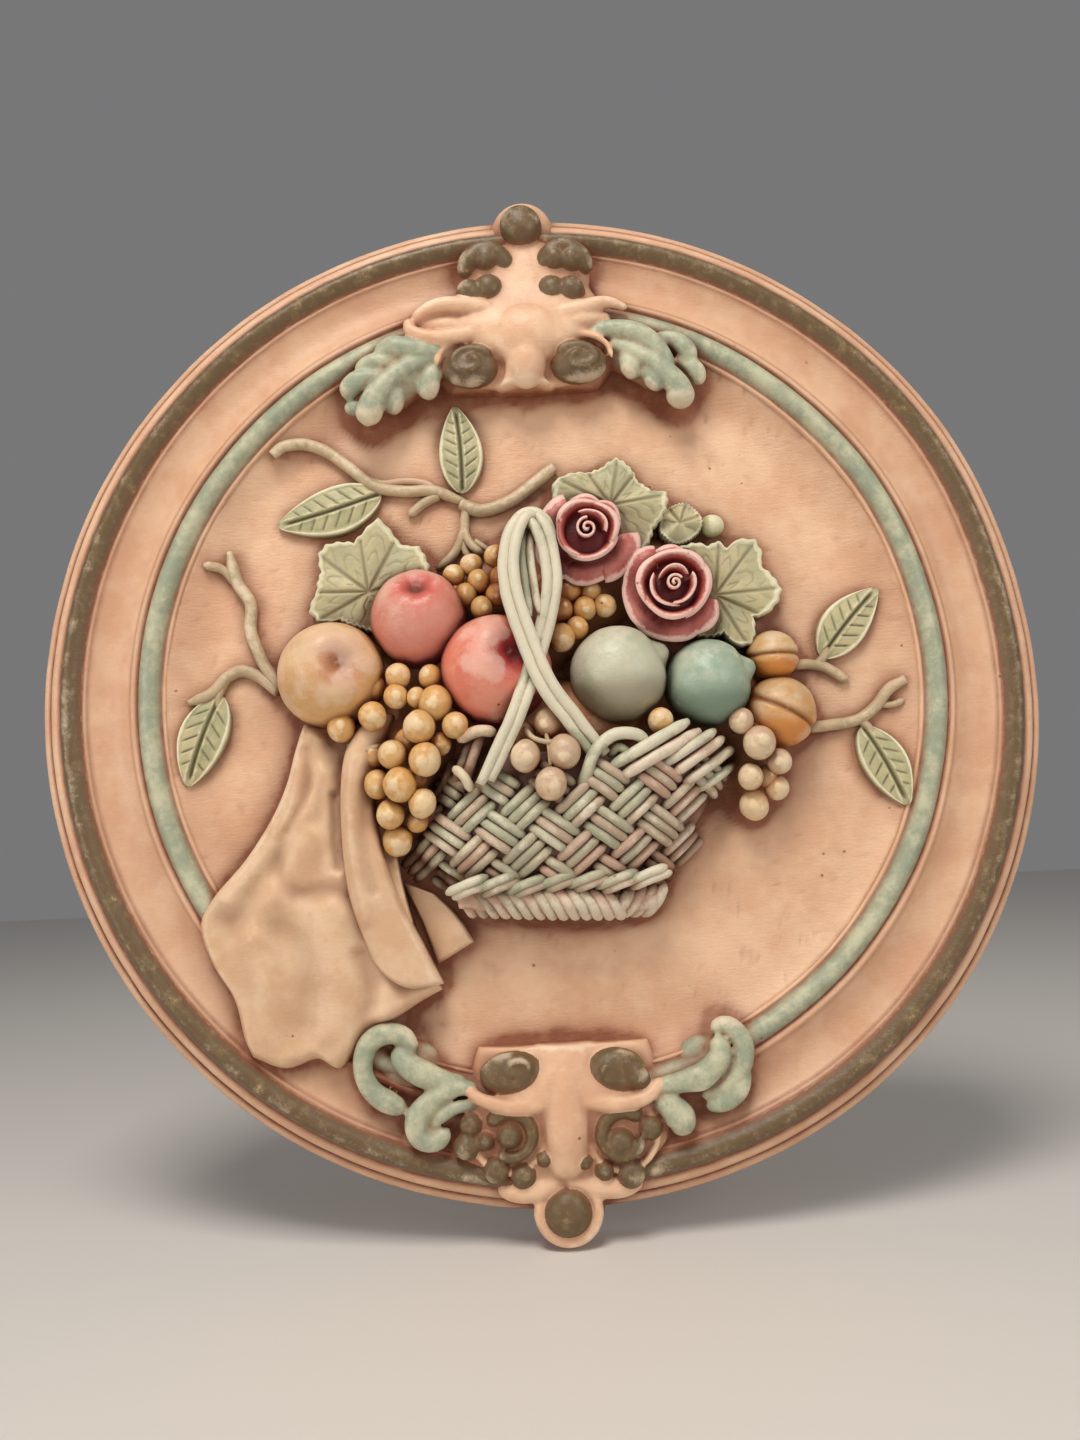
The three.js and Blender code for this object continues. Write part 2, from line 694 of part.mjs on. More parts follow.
/** The pendant: a boss in a ring, a waisted body, four rosettes and the scrolled leaves. */
function pendant() {
  const body = [
    [-153, -11, 13, 23, 28],
    [-162, -13, 13, 25, 31],
    [-169, -22, 22, 25, 32],
    [-175, -44, 40, 22, 32],
    [-182, -44, 42, 23, 29],
    [-192, -46, 44, 23, 28],
    [-202, -42, 37, 21, 27],
    [-209, -28, 29, 17, 26],
    [-215, -19, 21, 14, 22],
    [-220, -13, 13, 12, 20],
  ];
  const parts = [
    dome(0, -221.5, 12, 15, 15, 15, { sides: 12, rings: 3, foot: 0 }),
    dome(-1, -220, 25, 9.9, 9.9, 6, { sides: 12 }),
    loft(body, 6, 9),
    strand([[1, -166, 23], [0, -186, 26], [-1, -207, 22]], (t) => 6 + 2.5 * Math.sin(Math.PI * t), 5),
    strand([[-6, -206, 24], [-20, -210, 22]], 6, 3),
    strand([[5, -206, 24], [19, -210, 22]], 6, 3),
    strand([[-6, -174, 29], [-24, -176, 27]], 4, 3),
    strand([[6, -175, 29], [26, -178, 27]], 4, 3),
    dome(-22, -164, 24, 15, 10, 8, { sides: 12 }),
    dome(22, -165, 24, 14, 10.5, 8, { sides: 12 }),
    volute(-23, -189, 28, 11, 1, 60, 4.2),
    volute(23, -190, 28, -11, 1, 120, 4.2),
    dome(-23, -189, 26, 8, 8, 7),
    dome(22, -193, 26, 8, 8, 7),
  ];
  for (const [x, z, rx, rz] of [
    [-40, -188, 6, 8],
    [-30, -201, 6.5, 6],
    [-18, -204, 6, 5.5],
    [38, -190, 6, 7],
    [27, -204, 7, 6],
    [14, -203, 5.5, 5],
    [47, -186, 8, 11],
  ]) {
    parts.push(dome(x, z, 22, rx, rz, 8, { sides: 7 }));
  }
  const leaves = [
    [[[-60, -152], [-69, -145], [-79, -146], [-84, -157], [-80, -169], [-67, -175]], 5],
    [[[-73, -153], [-66, -156], [-55, -164], [-40, -167]], 5],
    [[[-38, -170], [-53, -169], [-63, -177], [-61, -187], [-51, -187]], 4.4],
    [[[-36, -174], [-47, -176], [-57, -183]], 3.4],
    [[[31, -172], [48, -170], [61, -166], [67, -152]], 5],
    [[[68, -148], [77, -155], [75, -167], [56, -177]], 5],
    [[[76, -166], [70, -177], [58, -182]], 4.5],
  ];
  for (const [path, radius] of leaves) {
    parts.push(strand(path.map(([x, z]) => [x, z, 24]), radius, 6));
  }
  return parts;
}

/** Sum of squared distances to planes, kept as the ten numbers of a symmetric form. */
class PlaneError {
  constructor(sums = new Float64Array(10)) {
    this.sums = sums;
  }

  add(normal, offset, weight) {
    const plane = [normal.x, normal.y, normal.z, offset];
    let k = 0;
    for (let i = 0; i < 4; i += 1) {
      for (let j = i; j < 4; j += 1) {
        this.sums[k] += weight * plane[i] * plane[j];
        k += 1;
      }
    }
  }

  merge(other) {
    other.sums.forEach((value, k) => {
      this.sums[k] += value;
    });
  }

  at({ x, y, z }) {
    const q = this.sums;
    const square = q[0] * x * x + q[4] * y * y + q[7] * z * z + q[9];
    return square + 2 * (q[1] * x * y + q[2] * x * z + q[3] * x + q[5] * y * z + q[6] * y + q[8] * z);
  }
}

/** Thins a closed surface by folding its least important corners into a neighbour; keeps names what stays. */
class Thinner {
  constructor({ vertProperties, triVerts }, keeps) {
    this.keeps = keeps;
    this.corners = [];
    for (let i = 0; i < vertProperties.length; i += 3) {
      this.corners.push(new THREE.Vector3().fromArray(vertProperties, i));
    }
    this.errors = this.corners.map(() => new PlaneError());
    this.fans = this.corners.map(() => new Set());
    this.faces = [];
    for (let i = 0; i < triVerts.length; i += 3) {
      const face = [...triVerts.slice(i, i + 3)];
      const { normal, area } = this.plane(face);
      face.forEach((corner) => {
        this.errors[corner].add(normal, -normal.dot(this.corners[face[0]]), area);
        this.fans[corner].add(face);
      });
      this.faces.push(face);
    }
  }

  /** Outward direction and area of a face, with corner `from` read as corner `to`. */
  plane(face, from = -1, to = -1) {
    const [a, b, c] = face.map((corner) => this.corners[corner === from ? to : corner]);
    const normal = new THREE.Vector3().crossVectors(b.clone().sub(a), c.clone().sub(a));
    const area = normal.length() / 2;
    return { normal: normal.normalize(), area };
  }

  neighbours(corner) {
    const found = new Set([...this.fans[corner]].flat());
    found.delete(corner);
    return found;
  }

  /** The cheapest neighbour that a corner can be folded into, or null. */
  bestFold(corner) {
    if (this.keeps(this.corners[corner])) return null;
    const around = this.neighbours(corner);
    let best = null;
    for (const target of around) {
      const place = this.corners[target];
      const cost = this.errors[corner].at(place) + this.errors[target].at(place);
      if (best && cost >= best.cost) continue;
      const shared = [...this.neighbours(target)].filter((other) => around.has(other));
      if (shared.length === 2 && this.keepsShape(corner, target)) best = { target, cost };
    }
    return best;
  }

  /** Tells whether no face turns over or shrinks to a sliver when a corner is folded. */
  keepsShape(corner, target) {
    return [...this.fans[corner]].every((face) => {
      if (face.includes(target)) return true;
      const before = this.plane(face);
      const after = this.plane(face, corner, target);
      const [a, b, c] = face.map((k) => this.corners[k === corner ? target : k]);
      const longest = Math.max(a.distanceTo(b), b.distanceTo(c), c.distanceTo(a));
      return after.area / longest > 0.12 && before.normal.dot(after.normal) > 0.3;
    });
  }

  fold(corner, target) {
    for (const face of this.fans[corner]) {
      if (face.includes(target)) {
        face.forEach((other) => this.fans[other].delete(face));
        face.gone = true;
        continue;
      }
      face[face.indexOf(corner)] = target;
      this.fans[target].add(face);
    }
    this.errors[target].merge(this.errors[corner]);
    this.fans[corner] = new Set();
  }

  /** Folds corners, the cheapest first, until no more than `most` faces are left. */
  run(most) {
    let left = this.faces.length;
    let limit = 1e-4;
    while (left > most) {
      for (let corner = 0; corner < this.corners.length && left > most; corner += 1) {
        if (this.fans[corner].size === 0) continue;
        const best = this.bestFold(corner);
        if (!best || best.cost > limit) continue;
        this.fold(corner, best.target);
        left -= 2;
      }
      limit *= 1.5;
    }
    return this.faces.filter((face) => !face.gone).flat();
  }
}

/** Joins all parts, fills what is sealed inside and thins the surface. */
function casting() {
  const parts = [
    frameBody(),
    fruits(),
    grapes(),
    plainLeaves(),
    vineLeaves(),
    roses(),
    twigs(),
    basket(),
    handle(),
    cloth(),
    crest(),
    pendant(),
  ].flat();
  const shells = wasm.Manifold.union(parts).simplify(0.05).decompose();
  const joined = shells.sort((a, b) => b.volume() - a.volume())[0].getMesh();
  const besideReliefs = (x, z) => Math.hypot(x, z) > 166 && (x > 92 || (x < -92 && z > -75));
  const bareFrame = ({ x, y, z }) => y > -0.01 || besideReliefs(x, z);
  const thinner = new Thinner(joined, bareFrame);
  const geometry = new THREE.BufferGeometry();
  geometry.setAttribute("position", new THREE.BufferAttribute(joined.vertProperties, 3));
  geometry.setIndex(thinner.run(MOST_FACES));
  return solid(geometry).getMesh();
}

const result = casting();
const geometry = new THREE.BufferGeometry();
geometry.setAttribute("position", new THREE.BufferAttribute(result.vertProperties, 3));
geometry.setIndex(new THREE.BufferAttribute(result.triVerts, 1));
geometry.computeVertexNormals();
const plaster = new THREE.MeshStandardMaterial({ color: 0xd7af91, roughness: 0.5, metalness: 0 });
const plaque = new THREE.Mesh(geometry, plaster);
plaque.name = "plaque";

const group = new THREE.Group();
group.name = "wall_plaque";
group.add(plaque);
export default group;
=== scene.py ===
"""Round wall plaque of cast and painted plaster: moulded frame, fruit basket in high relief, crest and pendant.

Lengths are millimetres in relief coordinates: x to the right, z up, and h the height above the flat back.
Meshes are written in metres in the row frame, where h runs towards -Y.
"""
import logging
import math
from collections.abc import Callable, Iterable, Sequence
from dataclasses import dataclass, field
from enum import Enum
from itertools import product

import bpy
import numpy as np
from mathutils import Euler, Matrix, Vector
from mathutils.bvhtree import BVHTree


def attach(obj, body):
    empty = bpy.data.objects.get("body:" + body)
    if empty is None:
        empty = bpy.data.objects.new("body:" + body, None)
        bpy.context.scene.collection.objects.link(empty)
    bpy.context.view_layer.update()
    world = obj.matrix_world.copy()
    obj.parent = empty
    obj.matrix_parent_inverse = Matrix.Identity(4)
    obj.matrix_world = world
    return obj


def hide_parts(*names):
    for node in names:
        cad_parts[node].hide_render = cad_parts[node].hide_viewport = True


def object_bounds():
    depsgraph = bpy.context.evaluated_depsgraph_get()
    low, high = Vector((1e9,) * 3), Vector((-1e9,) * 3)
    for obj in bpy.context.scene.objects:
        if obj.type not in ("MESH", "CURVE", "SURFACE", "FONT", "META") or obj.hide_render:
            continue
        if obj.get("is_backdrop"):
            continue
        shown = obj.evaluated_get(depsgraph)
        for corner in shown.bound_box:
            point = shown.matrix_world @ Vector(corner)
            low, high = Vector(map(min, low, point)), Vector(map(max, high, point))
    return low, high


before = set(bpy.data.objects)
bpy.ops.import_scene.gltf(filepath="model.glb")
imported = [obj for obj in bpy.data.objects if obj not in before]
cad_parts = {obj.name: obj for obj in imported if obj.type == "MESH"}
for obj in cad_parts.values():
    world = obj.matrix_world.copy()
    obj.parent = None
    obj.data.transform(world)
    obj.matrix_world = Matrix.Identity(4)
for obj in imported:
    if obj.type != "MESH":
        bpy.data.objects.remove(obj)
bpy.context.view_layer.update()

Array = np.ndarray
Colour = tuple[float, float, float]
MM = 0.001
TAU = 2 * math.pi
LOG = logging.getLogger("plaque")


# ---------------------------------------------------------------- relief arithmetic


def to_world(points: Array) -> Array:
    """Relief points in mm as row-frame points in metres."""
    return np.column_stack((points[:, 0], -points[:, 2], points[:, 1])) * MM


def to_relief(points: Array) -> Array:
    """Row-frame points in metres as relief points in mm."""
    return np.column_stack((points[:, 0], points[:, 2], -points[:, 1])) / MM


def smooth_step(low: float, high: float, value: Array) -> Array:
    """Smooth rise from 0 at low to 1 at high."""
    t = np.clip((value - low) / (high - low), 0, 1)
    return t * t * (3 - 2 * t)


def noise(points: Array, size: float, seed: int) -> Array:
    """Smooth value noise in -1..1.

    Args:
        points: Points in mm, any number of them.
        size: Width of one lump in mm.
        seed: Number that picks the pattern.

    Returns:
        One value for each point.
    """
    lattice = np.random.default_rng(seed).uniform(-1, 1, (32, 32, 32))
    place = points / size + 1000.0
    cell = np.floor(place).astype(int)
    t = place - cell
    t = t * t * (3 - 2 * t)
    total = np.zeros(len(points))
    for corner in product((0, 1), repeat=3):
        i, j, k = ((cell + corner) % 32).T
        weight = np.prod(np.where(np.array(corner) == 1, t, 1 - t), axis=1)
        total += weight * lattice[i, j, k]
    return total


def curve(points: Sequence[Sequence[float]], count: int) -> Array:
    """Even points on a smooth curve through the given ones (Catmull-Rom).

    Args:
        points: Points that the curve passes through, of any dimension.
        count: How many points to give back.

    Returns:
        The points, spaced evenly along the curve.
    """
    base = np.array(points, float)
    ends = np.vstack((2 * base[0] - base[1], base, 2 * base[-1] - base[-2]))
    fine = []
    for p0, p1, p2, p3 in zip(ends, ends[1:], ends[2:], ends[3:]):
        t = np.linspace(0, 1, 24, endpoint=False)[:, None]
        fine.append(0.5 * (2 * p1 + (p2 - p0) * t + (2 * p0 - 5 * p1 + 4 * p2 - p3) * t**2
                           + (3 * p1 - p0 - 3 * p2 + p3) * t**3))
    dense = np.vstack((*fine, base[-1:]))
    steps = np.r_[0, np.cumsum(np.linalg.norm(np.diff(dense, axis=0), axis=1))]
    wanted = np.linspace(0, steps[-1], count)
    return np.column_stack([np.interp(wanted, steps, column) for column in dense.T])


@dataclass
class Shell:
    """A closed surface in relief coordinates, with named numbers at its points."""

    points: Array
    faces: list[Sequence[int]]
    values: dict[str, Array] = field(default_factory=dict)

    @staticmethod
    def join(shells: Iterable["Shell"]) -> "Shell":
        """One shell that holds all the given ones; a number that one of them lacks is 0 there."""
        shells = list(shells)
        names = sorted({name for shell in shells for name in shell.values})
        starts = np.cumsum([0] + [len(shell.points) for shell in shells])
        faces = [tuple(int(start) + i for i in face) for start, shell in zip(starts, shells) for face in shell.faces]
        blank = {name: [s.values.get(name, np.zeros(len(s.points))) for s in shells] for name in names}
        return Shell(np.vstack([s.points for s in shells]), faces,
                     {name: np.concatenate(parts) for name, parts in blank.items()})

    def with_values(self, **numbers: float | Array) -> "Shell":
        """The same shell with more named numbers."""
        filled = {name: np.broadcast_to(number, len(self.points)).astype(float) for name, number in numbers.items()}
        return Shell(self.points, self.faces, {**self.values, **filled})

    def to_object(self, name: str) -> bpy.types.Object:
        """A mesh object of this shell, smooth shaded, in the scene."""
        mesh = bpy.data.meshes.new(name)
        mesh.from_pydata(to_world(self.points).tolist(), [], self.faces)
        mesh.polygons.foreach_set("use_smooth", np.ones(len(mesh.polygons), bool))
        for key, numbers in self.values.items():
            mesh.attributes.new(key, "FLOAT", "POINT").data.foreach_set("value", numbers.astype(np.float32))
        mesh.validate()
        mesh.update()
        return link(bpy.data.objects.new(name, mesh))


def link(obj: bpy.types.Object) -> bpy.types.Object:
    """Puts an object in the scene."""
    bpy.context.scene.collection.objects.link(obj)
    return obj


def relief_of(obj: bpy.types.Object) -> Array:
    """An object's points in relief coordinates."""
    flat = np.empty(3 * len(obj.data.vertices))
    obj.data.vertices.foreach_get("co", flat)
    return to_relief(flat.reshape(-1, 3))


def shell_of(obj: bpy.types.Object) -> Shell:
    """A mesh object read back as a shell, with its named numbers."""
    mesh = obj.data
    values = {}
    for attribute in mesh.attributes:
        if attribute.domain == "POINT" and attribute.data_type == "FLOAT":
            numbers = np.empty(len(mesh.vertices))
            attribute.data.foreach_get("value", numbers)
            values[attribute.name] = numbers
    return Shell(relief_of(obj), [tuple(face.vertices) for face in mesh.polygons], values)


def grid_slab(surface: Callable[[Array, Array], Array], across: int, along: int, under: float) -> Shell:
    """A relief patch on a grid, closed at the sides and over a flat underside.

    Args:
        surface: Gives the relief points, shape (..., 3), for arrays u and v in 0..1; v is to the left of u.
        across: Cells in the direction of u.
        along: Cells in the direction of v.
        under: Height of the underside.

    Returns:
        The closed patch, with its border distance 0..1 as the number "inset".
    """
    u, v = np.meshgrid(np.linspace(0, 1, across + 1), np.linspace(0, 1, along + 1))
    top = surface(u, v).reshape(-1, 3)
    low = top.copy()
    low[:, 2] = under
    row = across + 1
    index = np.arange(row * (along + 1)).reshape(along + 1, row)
    a, b, c, d = (index[s, t].ravel() for s, t in (
        (np.s_[:-1], np.s_[:-1]), (np.s_[:-1], np.s_[1:]), (np.s_[1:], np.s_[1:]), (np.s_[1:], np.s_[:-1])))
    edge = np.r_[index[0, :-1], index[:-1, -1], index[-1, :0:-1], index[:0:-1, 0]]
    after = np.roll(edge, -1)
    count = len(top)
    faces = np.vstack((
        np.column_stack((a, b, c, d)),
        np.column_stack((d, c, b, a)) + count,
        np.column_stack((edge, edge + count, after + count, after)),
    ))
    inset = np.minimum(np.minimum(u, 1 - u), np.minimum(v, 1 - v)).ravel()
    return Shell(np.vstack((top, low)), faces.tolist(), {"inset": np.r_[inset, inset]})


def ball(centre: Sequence[float], half: Sequence[float], roll: float = 0.0, sides: int = 28) -> Shell:
    """An ellipsoid with half-sizes across, up and out, turned by roll in the plane of the plaque."""
    rings = sides // 2
    polar = np.linspace(0, math.pi, rings + 1)[1:-1]
    turn = np.arange(sides) * TAU / sides
    body = [(math.sin(p) * math.cos(t), math.sin(p) * math.sin(t), math.cos(p)) for p in polar for t in turn]
    unit = np.array([(0, 0, 1), *body, (0, 0, -1)])
    x, z, h = (unit * np.array(half)).T
    points = np.column_stack((x * math.cos(roll) - z * math.sin(roll), z * math.cos(roll) + x * math.sin(roll), h))
    last = len(unit) - 1
    faces: list[Sequence[int]] = []
    for j in range(sides):
        k = (j + 1) % sides
        faces.append((0, 1 + j, 1 + k))
        faces.append((last, last - sides + k, last - sides + j))
        for ring in range(rings - 2):
            start = 1 + ring * sides
            faces.append((start + j, start + sides + j, start + sides + k, start + k))
    return Shell(points + np.array(centre), faces)


def horn(path: Sequence[Sequence[float]], width: Callable[[Array], Array] | float, rise: float = 1.0,
         steps: int = 24, sides: int = 14) -> Shell:
    """A rounded strand whose width changes along it and whose ends are closed to points.

    Args:
        path: Points (x, z, h) of its middle.
        width: Half-width, or a function of the place 0..1 along it.
        rise: Half-height as a share of the half-width.
        steps: Rings along it.
        sides: Points round it.

    Returns:
        The closed strand.
    """
    line = curve(path, steps + 1)
    t = np.linspace(0, 1, steps + 1)
    half = width(t) if callable(width) else np.full(steps + 1, float(width))
    length = np.linalg.norm(np.diff(line, axis=0), axis=1).sum()
    to_end = np.minimum(t, 1 - t) * length
    half = half * np.sqrt(np.clip(1 - np.clip(1 - to_end / half, 0, 1) ** 2, 0.03, 1))
    along = np.gradient(line, axis=0)
    along /= np.linalg.norm(along, axis=1)[:, None]
    side = np.cross(along, np.array((0, 0, 1.0)))
    side /= np.maximum(np.linalg.norm(side, axis=1)[:, None], 1e-9)
    up = np.cross(side, along)
    turn = np.arange(sides) * TAU / sides
    ring = (line[:, None] + half[:, None, None] * (np.cos(turn)[None, :, None] * side[:, None]
            + rise * np.sin(turn)[None, :, None] * up[:, None]))
    tips = np.vstack((line[0] - along[0] * half[0] * 0.3, line[-1] + along[-1] * half[-1] * 0.3))
    points = np.vstack((ring.reshape(-1, 3), tips))
    first, last = len(points) - 2, len(points) - 1
    faces: list[Sequence[int]] = []
    for j in range(sides):
        k = (j + 1) % sides
        faces.append((first, k, j))
        faces.append((last, steps * sides + j, steps * sides + k))
        for i in range(steps):
            a = i * sides
            faces.append((a + j, a + k, a + sides + k, a + sides + j))
    return Shell(points, faces)


def loft(rows: Sequence[Sequence[float]], under: float, across: int = 48, along: int = 60) -> Shell:
    """A bulged body through rows of (z, left, right, edge height, middle height), from the top down."""
    table = np.array(rows, float)
    place = np.linspace(0, len(rows) - 1, len(rows))
    fine = curve(np.column_stack((place * 12, table)), along + 1)[:, 1:]

    def surface(u: Array, v: Array) -> Array:
        """Points of the body's front."""
        index = np.clip(v * along, 0, along)
        z, left, right, edge, middle = (np.interp(index, np.arange(along + 1), column) for column in fine.T)
        bow = np.sin(math.pi * u)
        return np.stack((right + (left - right) * (1 - np.cos(math.pi * u)) / 2, z, edge + (middle - edge) * bow), -1)

    return grid_slab(surface, across, along, under)


# ---------------------------------------------------------------- node benches


class Wire:
    """A node's output that takes part in Python arithmetic; every sign adds one Math node."""

    def __init__(self, bench: "Bench", socket: bpy.types.NodeSocket) -> None:
        """Keeps the tree's bench and the socket."""
        self.bench = bench
        self.socket = socket

    def _math(self, operation: str, first: object, second: object) -> "Wire":
        """A Math node on two values, either of which may be a number."""
        return self.bench.add("ShaderNodeMath", {"operation": operation}, {0: first, 1: second})

    def __add__(self, other: object) -> "Wire":
        """self + other."""
        return self._math("ADD", self, other)

    __radd__ = __add__

    def __sub__(self, other: object) -> "Wire":
        """self - other."""
        return self._math("SUBTRACT", self, other)

    def __rsub__(self, other: object) -> "Wire":
        """other - self."""
        return self._math("SUBTRACT", other, self)

    def __mul__(self, other: object) -> "Wire":
        """self * other."""
        return self._math("MULTIPLY", self, other)

    __rmul__ = __mul__

    def __truediv__(self, other: object) -> "Wire":
        """self / other."""
        return self._math("DIVIDE", self, other)

    def __rtruediv__(self, other: object) -> "Wire":
        """other / self."""
        return self._math("DIVIDE", other, self)

    def __pow__(self, other: object) -> "Wire":
        """self to a power."""
        return self._math("POWER", self, other)

    def rise(self, low: float, high: float) -> "Wire":
        """Smooth rise from 0 at low to 1 at high."""
        settings = {"interpolation_type": "SMOOTHSTEP"}
        return self.bench.add("ShaderNodeMapRange", settings, {"Value": self, "From Min": low, "From Max": high})

    def clamped(self) -> "Wire":
        """The value held between 0 and 1."""
        return self.bench.add("ShaderNodeClamp", {}, {"Value": self})


class Bench:
    """Builds one node tree, for a material or for geometry."""

    def __init__(self, tree: bpy.types.NodeTree) -> None:
        """Takes the tree to build in."""
        self.tree = tree

    def add(self, kind: str, settings: dict[str, object], values: dict[str | int, object],
            output: int | str = 0) -> Wire:
        """Adds a node.

        Args:
            kind: The node's type.
            settings: Properties that are set first, such as a Math node's operation.
            values: Numbers, colours or wires for its inputs, by name or index.
            output: Which output to give back.

        Returns:
            The chosen output.
        """
        node = self.tree.nodes.new(kind)
        for key, setting in settings.items():
            setattr(node, key, setting)
        for key, value in values.items():
            if isinstance(value, Wire):
                self.tree.links.new(value.socket, node.inputs[key])
            elif isinstance(value, tuple) and len(value) == 3 and node.inputs[key].type == "RGBA":
                node.inputs[key].default_value = (*value, 1.0)
            else:
                node.inputs[key].default_value = value
        return Wire(self, node.outputs[output]) if len(node.outputs) else Wire(self, None)

    def mix(self, first: object, second: object, factor: object) -> Wire:
        """A colour that goes from first to second as the factor goes from 0 to 1."""
        settings = {"data_type": "RGBA", "clamp_factor": True}
        return self.add("ShaderNodeMix", settings, {0: factor, 6: first, 7: second}, 2)

    def mark(self, name: str) -> Wire:
        """A number kept at the piece's points."""
        return self.add("ShaderNodeAttribute", {"attribute_name": name}, {}, "Fac")

    def cloud(self, where: Wire, per_metre: float, detail: float = 3.0, rough: float = 0.55) -> Wire:
        """Soft noise about 0.5 wide of middle, with so many lumps per metre."""
        values = {"Vector": where, "Scale": per_metre, "Detail": detail, "Roughness": rough}
        return self.add("ShaderNodeTexNoise", {}, values, "Fac")


class GeometryTool:
    """A geometry-node tree with named inputs that is run once over a mesh."""

    def __init__(self, name: str, sizes: dict[str, float | int]) -> None:
        """Makes the tree with a geometry input, the named sizes and a material."""
        self.tree = bpy.data.node_groups.new(name, "GeometryNodeTree")
        face = self.tree.interface
        face.new_socket("Geometry", in_out="INPUT", socket_type="NodeSocketGeometry")
        for key, value in sizes.items():
            kind = "NodeSocketInt" if isinstance(value, int) else "NodeSocketFloat"
            face.new_socket(key, in_out="INPUT", socket_type=kind).default_value = value
        face.new_socket("Material", in_out="INPUT", socket_type="NodeSocketMaterial")
        face.new_socket("Geometry", in_out="OUTPUT", socket_type="NodeSocketGeometry")
        self.bench = Bench(self.tree)
        self.inputs = self.tree.nodes.new("NodeGroupInput")

    def given(self, name: str) -> Wire:
        """A named input of the tree."""
        return Wire(self.bench, self.inputs.outputs[name])

    def close(self, shape: Wire) -> None:
        """Ends the tree: smooth faces, real instances, and the material."""
        add = self.bench.add
        smooth = add("GeometryNodeSetShadeSmooth", {}, {"Geometry": shape})
        real = add("GeometryNodeRealizeInstances", {}, {"Geometry": smooth})
        add("NodeGroupOutput", {}, {0: add("GeometryNodeSetMaterial", {}, {"Geometry": real,
            "Material": self.given("Material")})})

    def run(self, source: bpy.types.Object, name: str, material: bpy.types.Material,
            sizes: dict[str, float | int]) -> bpy.types.Object:
        """Runs the tree over a source object and keeps the result as a plain mesh.

        Args:
            source: The object to work on; it is removed afterwards.
            name: The new piece's name.
            material: The material that the tree gives it.
            sizes: Values of the named inputs.

        Returns:
            The new object.
        """
        modifier = source.modifiers.new("tool", "NODES")
        modifier.node_group = self.tree
        chosen = {**sizes, "Material": material}
        for item in self.tree.interface.items_tree:
            if item.in_out == "INPUT" and item.name in chosen:
                modifier[item.identifier] = chosen[item.name]
        made = bpy.data.meshes.new_from_object(source.evaluated_get(bpy.context.evaluated_depsgraph_get()))
        source.modifiers.remove(modifier)
        bpy.data.objects.remove(source)
        made.name = name
        return link(bpy.data.objects.new(name, made))


def guide(name: str, lines: Sequence[Array], numbers: dict[str, Sequence[Array]]) -> bpy.types.Object:
    """An edge mesh of open lines, with named numbers at its points.

    Args:
        name: Name of the guide object.
        lines: Point lists in relief coordinates.
        numbers: For each name, one list of numbers per line.

    Returns:
        The guide object, for a GeometryTool to run over.
    """
    starts = np.cumsum([0] + [len(line) for line in lines])
    edges = [(int(s) + i, int(s) + i + 1) for s, line in zip(starts, lines) for i in range(len(line) - 1)]
    mesh = bpy.data.meshes.new(name)
    mesh.from_pydata(to_world(np.vstack(lines)).tolist(), edges, [])
    for key, parts in numbers.items():
        data = np.concatenate(parts).astype(np.float32)
        mesh.attributes.new(key, "FLOAT", "POINT").data.foreach_set("value", data)
    return link(bpy.data.objects.new(name, mesh))


def strand_tool() -> GeometryTool:
    """Round strands along lines, each as thick as its number "girth" says."""
    tool = GeometryTool("Strands", {"Sides": 10})
    add = tool.bench.add
    section = add("GeometryNodeCurvePrimitiveCircle", {}, {"Resolution": tool.given("Sides"), "Radius": 1.0})
    line = add("GeometryNodeMeshToCurve", {}, {"Mesh": tool.given("Geometry")})
    girth = add("GeometryNodeInputNamedAttribute", {"data_type": "FLOAT"}, {"Name": "girth"})
    tool.close(add("GeometryNodeCurveToMesh", {}, {
        "Curve": line, "Profile Curve": section, "Scale": girth, "Fill Caps": True}))
    return tool


def turning_tool() -> GeometryTool:
    """Turns a section line round the plaque's axis; the section starts and ends on the axis."""
    tool = GeometryTool("Turned moulding", {"Axis Radius": 0.2, "Segments": 600})
    add = tool.bench.add
    path = add("GeometryNodeCurvePrimitiveCircle", {}, {
        "Resolution": tool.given("Segments"), "Radius": tool.given("Axis Radius")})
    section = add("GeometryNodeMeshToCurve", {}, {"Mesh": tool.given("Geometry")})
    swept = add("GeometryNodeCurveToMesh", {}, {"Curve": path, "Profile Curve": section})
    tool.close(add("GeometryNodeMergeByDistance", {}, {"Geometry": swept, "Distance": 1e-5}))
    return tool


def cluster_tool() -> GeometryTool:
    """A small ball on every point, as large as its number "girth" says."""
    tool = GeometryTool("Grape cluster", {"Roundness": 4})
    add = tool.bench.add
    grape = add("GeometryNodeMeshIcoSphere", {}, {"Radius": 1.0, "Subdivisions": tool.given("Roundness")})
    girth = add("GeometryNodeInputNamedAttribute", {"data_type": "FLOAT"}, {"Name": "girth"})
    tool.close(add("GeometryNodeInstanceOnPoints", {}, {
        "Points": tool.given("Geometry"), "Instance": grape, "Scale": girth}))
    return tool


# ---------------------------------------------------------------- finishes


def paint(red: float, green: float, blue: float) -> Colour:
    """A colour from screen values 0..255, made linear."""
    share = (c / 255 for c in (red, green, blue))
    return tuple(c / 12.92 if c <= 0.04045 else ((c + 0.055) / 1.055) ** 2.4 for c in share)


